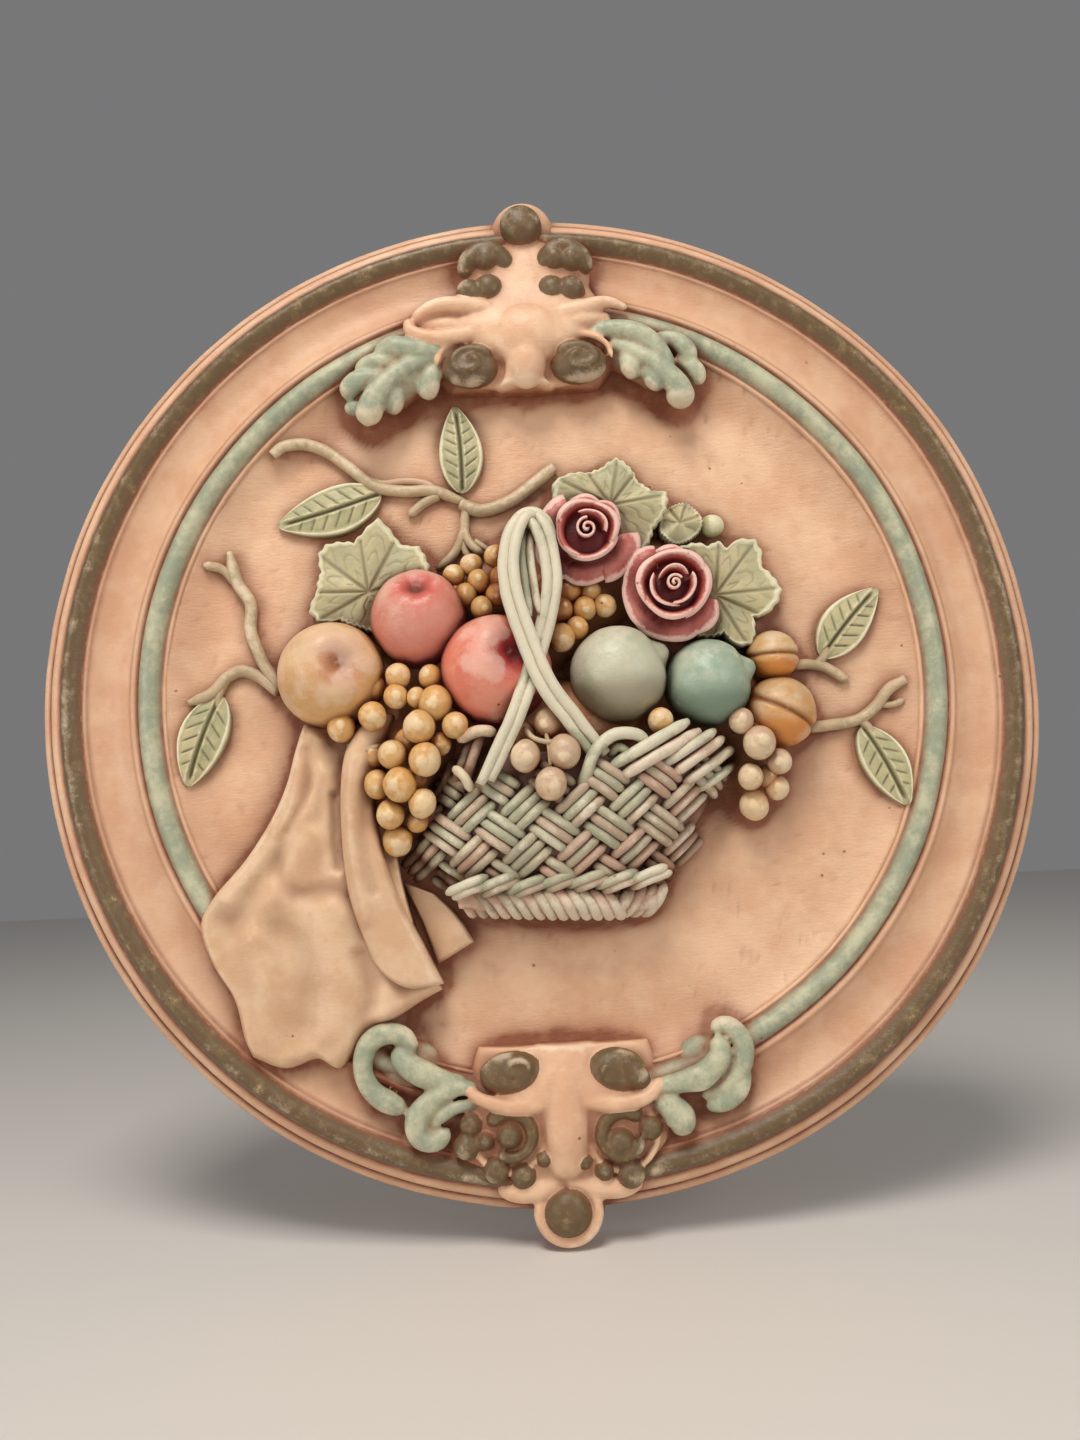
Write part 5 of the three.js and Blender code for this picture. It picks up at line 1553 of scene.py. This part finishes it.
def softened(points: Array, mesh: bpy.types.Mesh, rounds: int) -> Array:
    """Points moved half way to the middle of their neighbours, so many times."""
    ends = np.empty(2 * len(mesh.edges), int)
    mesh.edges.foreach_get("vertices", ends)
    a, b = ends.reshape(-1, 2).T
    count = np.bincount(np.r_[a, b], minlength=len(points))[:, None]
    for _ in range(rounds):
        total = np.column_stack([np.bincount(np.r_[a, b], weights=np.r_[points[b, k], points[a, k]],
                                             minlength=len(points)) for k in range(3)])
        points = 0.5 * points + 0.5 * total / np.maximum(count, 1)
    return points


def whorl(centre: tuple[float, float, float], size: float, turns: float, start: float, girth: float,
          flat: float = 1.0, end: float = 0.25) -> Shell:
    """A rounded strand that winds in: size below 0 winds clockwise, start is in degrees."""
    x, z, h = centre
    path = []
    count = math.ceil(turns * 10)
    for k in range(count + 1):
        t = k / count
        angle = math.radians(start) + math.copysign(TAU * turns * t, size)
        reach = abs(size) * (1 - (1 - end) * t)
        path.append((x + reach * math.cos(angle), z + flat * reach * math.sin(angle), h + 2.5 * t))
    return horn(path, lambda t: girth * (1 - 0.35 * t), steps=count * 3)


def plume(pairs: Sequence[tuple[float, float]], height: float, widths: tuple[float, ...], rise: float = 0.9,
          arch: float = 2.0) -> Shell:
    """A lobe of a leaf: a strand through x, z pairs whose half-width follows the given widths."""
    count = len(pairs) - 1
    path = [(x, z, height + arch * math.sin(math.pi * k / count)) for k, (x, z) in enumerate(pairs)]
    places = np.linspace(0, 1, len(widths))
    return horn(path, lambda t: np.interp(t, places, widths), rise, steps=26)


@dataclass
class Crest:
    """The crest: a boss in a cap, two clusters, a waisted body, two volutes, acanthus to both sides."""

    body: tuple[tuple[float, float, float, float, float], ...] = (
        (218, -13, 13, 13, 19), (206, -17, 18, 17, 25), (196, -27, 27, 21, 28), (184, -28, 30, 21, 29),
        (175, -32, 35, 21, 31), (166, -42, 36, 21, 33), (158, -30, 26, 23, 34), (150, -13, 9, 28, 34),
        (143, -11, 5, 27, 32), (137, -14, 10, 24, 29))

    def peach(self) -> list[Shell]:
        """Body, cap, wings and the rims round the volutes."""
        plate = ((171, -50, 42, 18, 25), (163, -48, 42, 19, 27), (154, -46, 41, 18, 27), (145, -42, 37, 17, 26),
                 (138, -36, 31, 15, 23))
        return [
            loft(self.body, 8.0), loft(plate, 8.0), ball((0, 215, 12), (15.3, 15.6, 14)),
            ball((-1, 160, 27), (17, 15, 9)), ball((-1.5, 149, 27), (9.5, 14, 8)), ball((-36, 166.5, 22), (17, 7, 7)),
            plume([(-14, 172), (-28, 175), (-42, 174.5), (-52, 169)], 27, (4.0, 4.0, 3.4, 2.6)),
            plume([(-54, 170), (-52, 163), (-42, 159.5), (-30, 160.5), (-18, 162)], 27, (2.4, 3.4, 3.8, 3.6, 3.0)),
            plume([(10, 168), (24, 171), (36, 173.5), (46, 171)], 27, (4.4, 4.2, 3.0, 1.6)),
            plume([(10, 163), (24, 166), (38, 168)], 26, (4.0, 3.6, 2.0)),
            whorl((-27, 147.5, 26.5), 14.4, 0.5, 5, 2.0, 0.8, 1.0), whorl((23, 147.5, 26.5), -14.4, 0.5, 175, 2.0, 0.84, 1.0),
            ball((-17, 189, 22), (13, 13, 5)), ball((17, 189, 22), (13, 13, 5)),
        ]

    def olive(self) -> list[Shell]:
        """Boss, the curled clusters and the volutes."""
        forms = [ball((-1, 213.5, 25), (9.6, 9.6, 7.5))]
        lobes = [(-17.5, 197, 5.4), (-25.5, 181.5, 6.2), (-17, 183, 6.4), (13.5, 196, 5.4), (21.5, 195.5, 5.6),
                 (11.5, 181.5, 6.2), (20.5, 181, 6.4)]
        forms += [ball((x, z, 26.5), (r, r, 6.0)) for x, z, r in lobes]
        for side, middle in ((-1, -17), (1, 17.5)):
            arch = [(middle + side * dx, z) for dx, z in ((10.5, 189), (9.5, 195), (3, 201), (-5, 199.5), (-10, 192))]
            forms.append(plume(arch, 25.5, (3.0, 4.6, 4.2, 4.4, 3.6), 1.1, 1.5))
        for x, turn in ((-27, 1), (22.5, -1)):
            forms.append(ball((x, 147, 24.5), (13.2, 9.6, 6.6)))
            forms.append(whorl((x, 147.5, 28.5), 10.0 * turn, 1.25, 90 - 70 * turn, 2.4, 0.7, 0.2))
        return forms

    def celadon(self) -> list[Shell]:
        """The acanthus leaves."""
        return [
            plume([(27, 161), (41, 161.5), (53, 156.5), (61, 147), (63, 141)], 25, (3.2, 4.2, 4.9, 4.6, 3.4), 0.9, 3),
            plume([(57, 158), (66, 156), (72, 150), (72, 144)], 24, (2.6, 3.6, 4.4, 3.8)),
            plume([(66, 148), (73, 144), (76, 139), (75, 135)], 23, (2.4, 3.6, 4.2, 3.4)),
            plume([(36, 156), (49, 150), (58, 143), (66, 134), (69, 128)], 25, (3.0, 3.6, 3.6, 5.4, 6.4), 0.85, 3),
            plume([(41, 154), (44, 149), (46, 143), (46, 139)], 23, (2.6, 3.8, 5.0, 4.0)),
            plume([(50, 148), (54, 142), (57, 136), (58, 133)], 23, (2.4, 3.6, 4.6, 3.6)),
            ball((67.5, 130, 25), (6.6, 6.4, 6.4)),
            plume([(-33, 158), (-42, 154.5), (-52, 155), (-62, 157), (-69, 153)], 25, (3.0, 3.6, 4.8, 5.2, 3.6), 0.9, 3),
            plume([(-52, 152), (-62, 151), (-72, 150), (-78, 146)], 24, (2.6, 3.8, 4.6, 3.4)),
            plume([(-60, 146), (-70, 144), (-79, 141), (-84, 135)], 24, (2.6, 4.0, 5.4, 4.4)),
            plume([(-40, 153), (-55, 147), (-66, 138), (-72, 128), (-74, 121)], 26, (3.2, 4.0, 4.4, 6.0, 6.4), 0.85, 3),
            plume([(-56, 148), (-60, 141), (-62, 133), (-61, 127)], 23, (2.6, 4.4, 5.4, 4.4)),
            plume([(-42, 153), (-44, 146), (-46, 139), (-46, 133)], 23, (2.6, 4.2, 5.4, 4.6)),
            plume([(-72, 130), (-78, 130), (-84, 132)], 22, (2.4, 3.6, 3.2)),
            plume([(30, 158), (50, 150), (66, 139)], 17, (6, 10, 9)),
            plume([(-34, 156), (-56, 147), (-72, 133)], 17, (6, 12, 10)),
        ]

    def build(self) -> bpy.types.Object:
        """Makes the crest."""
        return fuse("crest", {Coat.PEACH: self.peach(), Coat.OLIVE: self.olive(), Coat.CELADON: self.celadon()})


@dataclass
class Pendant:
    """The pendant: a boss in a ring, a waisted body with discs and rosettes, scrolled leaves to both sides."""

    body: tuple[tuple[float, float, float, float, float], ...] = (
        (-153, -11, 13, 21, 26), (-162, -13, 13, 24, 30), (-169, -21, 21, 24, 31), (-175, -42, 38, 21, 31),
        (-182, -44, 41, 22, 28), (-192, -45, 43, 22, 27), (-202, -41, 36, 20, 26), (-209, -28, 28, 17, 25),
        (-215, -19, 20, 14, 22), (-221, -13, 13, 12, 19))

    def peach(self) -> list[Shell]:
        """Body, ring, column, brow folds and flanks."""
        plate = ((-153.5, -36, 37, 16, 24), (-163, -40, 40, 18, 27), (-172, -44, 42, 18, 27), (-182, -50, 47, 18, 26),
                 (-194, -49, 46, 17, 25), (-203, -43, 40, 16, 23), (-211, -30, 31, 13, 20), (-219, -18, 19, 10, 17))
        return [
            loft(self.body, 8.0), loft(plate, 8.0), ball((0, -221, 13), (15.2, 15.2, 12)),
            horn([(1, -158, 24), (0, -176, 26), (0, -190, 26.5), (-1, -208, 22)],
                 lambda t: 7.6 + 1.8 * np.sin(math.pi * t), 0.8),
            whorl((-0.5, -220.5, 22.5), 12.2, 1.02, 90, 3.0, 1.0, 1.0),
            plume([(-2, -174), (-20, -176.5), (-34, -173), (-41, -168)], 27, (3.6, 3.8, 3.2, 2.2)),
            plume([(2, -174), (20, -177), (34, -175), (41, -168)], 27, (3.6, 3.8, 3.2, 2.2)),
            plume([(-2, -208), (-12, -211), (-22, -212), (-30, -210)], 21, (4.6, 5.4, 4.6, 3.0)),
            plume([(2, -208), (12, -211), (23, -212), (31, -210)], 21, (4.6, 5.4, 4.6, 3.0)),
            whorl((-24, -189, 24), 15.0, 0.9, 30, 1.8, 0.95, 1.0), whorl((23.5, -190.5, 24), -14.5, 0.9, 150, 1.8, 0.98, 1.0),
        ]

    def olive(self) -> list[Shell]:
        """Boss, top discs, rosettes and the small lobes."""
        forms = [ball((-1, -220.5, 24.5), (9.6, 9.6, 7.0)),
                 ball((-22, -163.5, 25), (13.6, 9.0, 5.6)), ball((22, -164.5, 25), (12.8, 9.4, 5.6)),
                 whorl((-20, -161, 28), 7.5, 1.2, 200, 2.0, 0.8, 0.2), whorl((20, -163, 28), -8.0, 0.8, 40, 2.2, 0.8, 0.3),
                 ball((31, -167, 27), (5.0, 4.6, 4.4)),
                 whorl((-23.5, -188.5, 27), -10.4, 0.8, 150, 3.0, 1.0, 0.75), ball((-24, -188, 27), (5.2, 5.2, 5.4)),
                 whorl((23.5, -190.5, 27), 10.4, 0.9, 40, 3.0, 1.0, 0.7), ball((22, -193, 27), (6.0, 5.6, 5.4))]
        lobes = [(-34, -190, 3.8), (-40, -183, 4.8), (-42, -192, 5.6), (-30, -202, 5.6), (-19, -204.5, 5.2),
                 (-10, -198, 3.4), (35, -188, 5.0), (6.5, -200, 3.4), (15, -204, 4.0), (26, -206, 6.0)]
        return forms + [ball((x, z, 25), (r, r, 5.4)) for x, z, r in lobes]

    def celadon(self) -> list[Shell]:
        """The scrolled leaves."""
        return [
            plume([(-62, -153), (-67, -146), (-75, -144.5), (-82, -149), (-84, -159), (-80, -168), (-71, -174),
                   (-66, -175)], 24, (3.0, 4.4, 4.8, 4.6, 4.2, 4.4, 5.0, 3.4)),
            plume([(-70, -150), (-67, -156), (-60, -161), (-50, -165), (-41, -166)], 24, (3.6, 5.4, 5.8, 4.4, 2.6)),
            plume([(-36, -169), (-46, -168), (-55, -172), (-62, -179), (-61, -187), (-54, -189), (-49, -184)], 25,
                  (2.6, 3.6, 4.6, 5.0, 5.0, 4.4, 3.0)),
            plume([(-35, -174), (-46, -176), (-53, -180), (-57, -184)], 25, (1.8, 2.6, 2.8, 1.8)),
            plume([(31, -172), (47, -170.5), (59, -167), (66, -160), (65, -152)], 25, (2.6, 3.8, 5.2, 5.4, 3.6)),
            plume([(63, -150), (70, -148), (76, -155), (75, -165), (68, -173), (57, -177)], 23,
                  (3.0, 4.2, 4.6, 4.4, 3.8, 2.4)),
            plume([(77, -166), (73, -175), (66, -180), (59, -181)], 23, (3.0, 4.4, 4.2, 2.4)),
            plume([(37, -176), (44, -180), (48, -186), (47, -192)], 24, (3.2, 5.6, 6.8, 4.6)),
            plume([(66, -166), (58, -171), (48, -173)], 27, (2.0, 2.6, 1.6)),
            ball((-66, -160, 17), (15, 12, 7)), ball((-52, -177, 17), (10, 10, 7)), ball((62, -164, 17), (15, 12, 7)),
        ]

    def build(self) -> bpy.types.Object:
        """Makes the pendant."""
        return fuse("pendant", {Coat.PEACH: self.peach(), Coat.OLIVE: self.olive(), Coat.CELADON: self.celadon()})


# ---------------------------------------------------------------- cloth


def crease(x: Array, z: Array, line: Sequence[tuple[float, float]], width: float, bias: float = 0.0) -> Array:
    """A soft ridge 0..1 along a line in the plane, optionally steeper on one side.

    Args:
        x: Places to the right.
        z: Places up.
        line: Points of the ridge's crest.
        width: Half-width in mm.
        bias: From -1 to 1, how much the left side is drawn out.

    Returns:
        The height of the ridge at every place.
    """
    path = curve(line, 40)
    near = np.full(x.shape, 1e9)
    side = np.zeros(x.shape)
    for (ax, az), (bx, bz) in zip(path, path[1:]):
        length = math.hypot(bx - ax, bz - az)
        t = np.clip(((x - ax) * (bx - ax) + (z - az) * (bz - az)) / length**2, 0, 1)
        dx, dz = x - ax - t * (bx - ax), z - az - t * (bz - az)
        away = np.hypot(dx, dz)
        closer = away < near
        near = np.where(closer, away, near)
        side = np.where(closer, np.sign((bx - ax) * dz - (bz - az) * dx), side)
    return np.exp(-(near / (width * (1 + bias * side))) ** 2)


def patch_between(top: Sequence, bottom: Sequence, left: Sequence, right: Sequence) -> Callable[[Array, Array], tuple]:
    """Places in the plane between four border lines; u runs along top and bottom, v along the sides."""
    lines = [curve(line, 60) for line in (top, bottom, left, right)]
    steps = np.linspace(0, 1, 60)

    def place(u: Array, v: Array) -> tuple[Array, Array]:
        """x and z at u, v."""
        out = []
        for k in range(2):
            t, b, l, r = (line[:, k] for line in lines)
            out.append((1 - v) * np.interp(u, steps, t) + v * np.interp(u, steps, b)
                       + (1 - u) * np.interp(v, steps, l) + u * np.interp(v, steps, r)
                       - ((1 - u) * (1 - v) * t[0] + u * (1 - v) * t[-1] + (1 - u) * v * b[0] + u * v * b[-1]))
        return out[0], out[1]

    return place


@dataclass
class Cloth:
    """The carved cloth: a wide fall, the folded strip in front of it and the small flap behind."""

    def fall(self) -> Shell:
        """The wide fall with its soft folds and rolled hem."""
        place = patch_between(
            [(-106, -12), (-96, -14), (-66, -12)],
            [(-130, -152), (-117, -157.5), (-103, -154), (-94, -158.5), (-86, -150), (-79, -142), (-70, -139),
             (-60, -133), (-50, -128)],
            [(-106, -12), (-110, -24), (-114, -38), (-122, -54), (-133, -70), (-146, -84), (-152, -96), (-147, -112),
             (-138, -127), (-134, -143), (-130, -152)],
            [(-66, -12), (-70, -40), (-66, -80), (-58, -110), (-50, -128)])

        def surface(u: Array, v: Array) -> Array:
            """Points of the front."""
            u = 1 - u
            x, z = place(u, v)
            ridges = (
                (4.0, [(-103, -18), (-108, -36), (-112, -52), (-122, -66), (-138, -86)], 4.6),
                (2.2, [(-98, -20), (-99, -34), (-104, -50)], 3.6),
                (3.0, [(-96, -34), (-93, -56), (-92, -76)], 5.0),
                (3.4, [(-104, -60), (-116, -80), (-128, -98)], 7.0),
                (3.2, [(-92, -88), (-98, -104), (-92, -124), (-96, -142)], 10.0),
                (2.6, [(-128, -104), (-124, -124), (-126, -144)], 7.0),
                (2.4, [(-76, -108), (-72, -122), (-74, -136)], 5.0),
            )
            valleys = (
                (2.6, [(-117, -62), (-117, -74), (-110, -84), (-96, -84), (-84, -88)], 4.0),
                (1.8, [(-104, -24), (-105, -42), (-113, -58)], 2.2),
                (2.6, [(-93, -44), (-93, -62), (-92, -74)], 2.4),
                (2.6, [(-138, -96), (-120, -98), (-106, -112), (-108, -138)], 7.0),
                (2.0, [(-84, -112), (-80, -128), (-84, -146)], 4.0),
            )
            height = 25.5 + 2.5 * np.exp(-(((x + 98) / 40) ** 2 + ((z + 110) / 40) ** 2))
            for rise, line, width in ridges:
                height = height + rise * crease(x, z, line, width)
            for drop, line, width in valleys:
                height = height - drop * crease(x, z, line, width)
            hem = np.minimum(np.minimum(u / 0.035, (1 - v) / 0.03), 1)
            edge = np.sqrt(np.clip(1 - (1 - hem) ** 2, 0, 1))
            lift = 0.8 * np.exp(-((np.minimum(u / 0.035, (1 - v) / 0.03) - 1.2) / 0.7) ** 2)
            return np.stack((x, z, height + lift - 5.0 * (1 - edge)), -1)

        return grid_slab(surface, 140, 160, 14.0)

    def strip(self) -> Shell:
        """The folded strip that hangs in front."""
        place = patch_between(
            [(-78, -12), (-66, -10)], [(-79, -113), (-71, -122), (-62, -126), (-49, -125)],
            [(-78, -12), (-87, -24), (-90, -48), (-88, -84), (-79, -113)],
            [(-66, -10), (-72, -30), (-75, -52), (-68, -84), (-57, -108), (-49, -125)])

        def surface(u: Array, v: Array) -> Array:
            """Points of the front."""
            u = 1 - u
            x, z = place(u, v)
            bow = np.sin(math.pi * np.clip(0.08 + 0.86 * u, 0, 1)) ** 0.6
            height = 27.5 + (8.5 - 3.5 * v) * bow - 1.6 * crease(x, z, [(-76, -34), (-80, -60), (-76, -84)], 3.0)
            height = height + 1.4 * crease(x, z, [(-84, -30), (-85, -60), (-80, -96)], 3.0)
            hem = np.minimum(np.minimum(u / 0.1, (1 - u) / 0.08), (1 - v) / 0.03).clip(0, 1)
            return np.stack((x, z, height - 3.0 * (1 - np.sqrt(np.clip(1 - (1 - hem) ** 2, 0, 1)))), -1)

        return grid_slab(surface, 50, 120, 20.0)

    def flap(self) -> Shell:
        """The small flap that shows behind."""
        place = patch_between([(-66, -82), (-52, -88)], [(-52, -118), (-36, -109)], [(-66, -82), (-58, -100),
                              (-52, -118)], [(-52, -88), (-43, -97), (-36, -109)])

        def surface(u: Array, v: Array) -> Array:
            """Points of the front."""
            u = 1 - u
            x, z = place(u, v)
            hem = np.minimum(u / 0.1, np.minimum((1 - u) / 0.1, (1 - v) / 0.07)).clip(0, 1)
            return np.stack((x, z, 18.0 + 1.5 * v - 2.5 * (1 - np.sqrt(np.clip(1 - (1 - hem) ** 2, 0, 1)))), -1)

        return grid_slab(surface, 30, 40, 9.0)

    def build(self) -> bpy.types.Object:
        """Makes the cloth."""
        made = Shell.join((self.fall(), self.strip(), self.flap()))
        front = made.points[:, 2] > 14.5
        made.points[front, 2] += (noise(made.points, 24, 61) * 0.5 + noise(made.points, 8, 62) * 0.15)[front]
        return made.to_object("cloth")


# ---------------------------------------------------------------- stage


@dataclass
class Stage:
    """A pale floor, soft lamps and the camera in front."""

    camera_place: tuple[float, float, float] = (-0.0109, -0.4938, -0.0674)
    camera_turn: tuple[float, float, float] = (96.418, 2.75, -0.671)
    lens: float = 27.07

    def camera(self) -> None:
        """Sets the camera."""
        data = bpy.data.cameras.new("camera")
        data.lens = self.lens
        data.sensor_width = 36.0
        camera = link(bpy.data.objects.new("camera", data))
        camera.location = self.camera_place
        camera.rotation_euler = Euler([math.radians(angle) for angle in self.camera_turn])
        bpy.context.scene.camera = camera

    def lamp(self, name: str, place: tuple[float, float, float], size: float, power: float, colour: Colour) -> None:
        """One soft square lamp that looks at the plaque."""
        data = bpy.data.lights.new(name, "AREA")
        data.size = size
        data.energy = power
        data.color = colour
        lamp = link(bpy.data.objects.new(name, data))
        lamp.location = place
        lamp.rotation_euler = (Vector((0, 0, 0)) - Vector(place)).to_track_quat("-Z", "Y").to_euler()

    def floor(self) -> None:
        """The pale floor that the plaque stands on."""
        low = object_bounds()[0][2] - 0.0004
        mesh = bpy.data.meshes.new("floor")
        mesh.from_pydata([(-3, -3, low), (3, -3, low), (3, 3, low), (-3, 3, low)], [], [(0, 1, 2, 3)])
        floor = link(bpy.data.objects.new("floor", mesh))
        made = bpy.data.materials.new("pale_floor")
        made.use_nodes = True
        shader = made.node_tree.nodes["Principled BSDF"]
        shader.inputs["Base Color"].default_value = (*paint(226, 222, 216), 1)
        shader.inputs["Roughness"].default_value = 0.6
        mesh.materials.append(made)
        floor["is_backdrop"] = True

    def build(self) -> None:
        """Sets up everything round the plaque."""
        self.camera()
        self.floor()
        world = bpy.data.worlds.new("studio")
        world.use_nodes = True
        world.node_tree.nodes["Background"].inputs["Color"].default_value = (*paint(206, 206, 208), 1)
        world.node_tree.nodes["Background"].inputs["Strength"].default_value = 0.3
        bpy.context.scene.world = world
        self.lamp("key", (-0.2, -0.85, 1.2), 0.55, 16.0, (1.0, 0.95, 0.88))
        self.lamp("fill", (0.95, -0.95, 0.35), 0.6, 5.0, (1.0, 0.96, 0.92))
        self.lamp("side", (-1.1, -0.8, 0.1), 0.6, 5.0, (1.0, 0.96, 0.92))


def main() -> None:
    """Builds the plaque and its stage."""
    logging.basicConfig(level=logging.INFO, format="%(name)s %(message)s")
    bpy.context.scene.view_settings.view_transform = "Standard"
    plaque = Plaque()
    frame_paint = FRAME_PAINT.material()
    plaque.keep(MouldedFrame().build(), frame_paint)
    plaque.keep(Field().build(), FIELD_PAINT.material())
    for fruit in FRUITS:
        plaque.keep(fruit.build(), fruit.coat.material())
    grape_paint = GRAPE_PAINT.material()
    plaque.keep(GrapeClusters().build(), grape_paint)
    plaque.keep(Mound().build(), MOUND_PAINT.material())
    Basket().build(plaque)
    twig_paint = TWIG_PAINT.material()
    plaque.keep(Twigs().build(), twig_paint)
    plaque.keep(Twigs().stalks(), twig_paint)
    Foliage().build(plaque)
    rose_paint = ROSE_PAINT.material()
    for name, rose in zip(("rose_upper", "rose_lower"), ROSES):
        plaque.keep(rose.build().to_object(name), rose_paint)
    plaque.keep(Crest().build(), frame_paint)
    plaque.keep(Pendant().build(), frame_paint)
    plaque.keep(Cloth().build(), CLOTH_PAINT.material())
    plaque.finish()
    Stage().build()


if __name__ == "__main__":
    main()
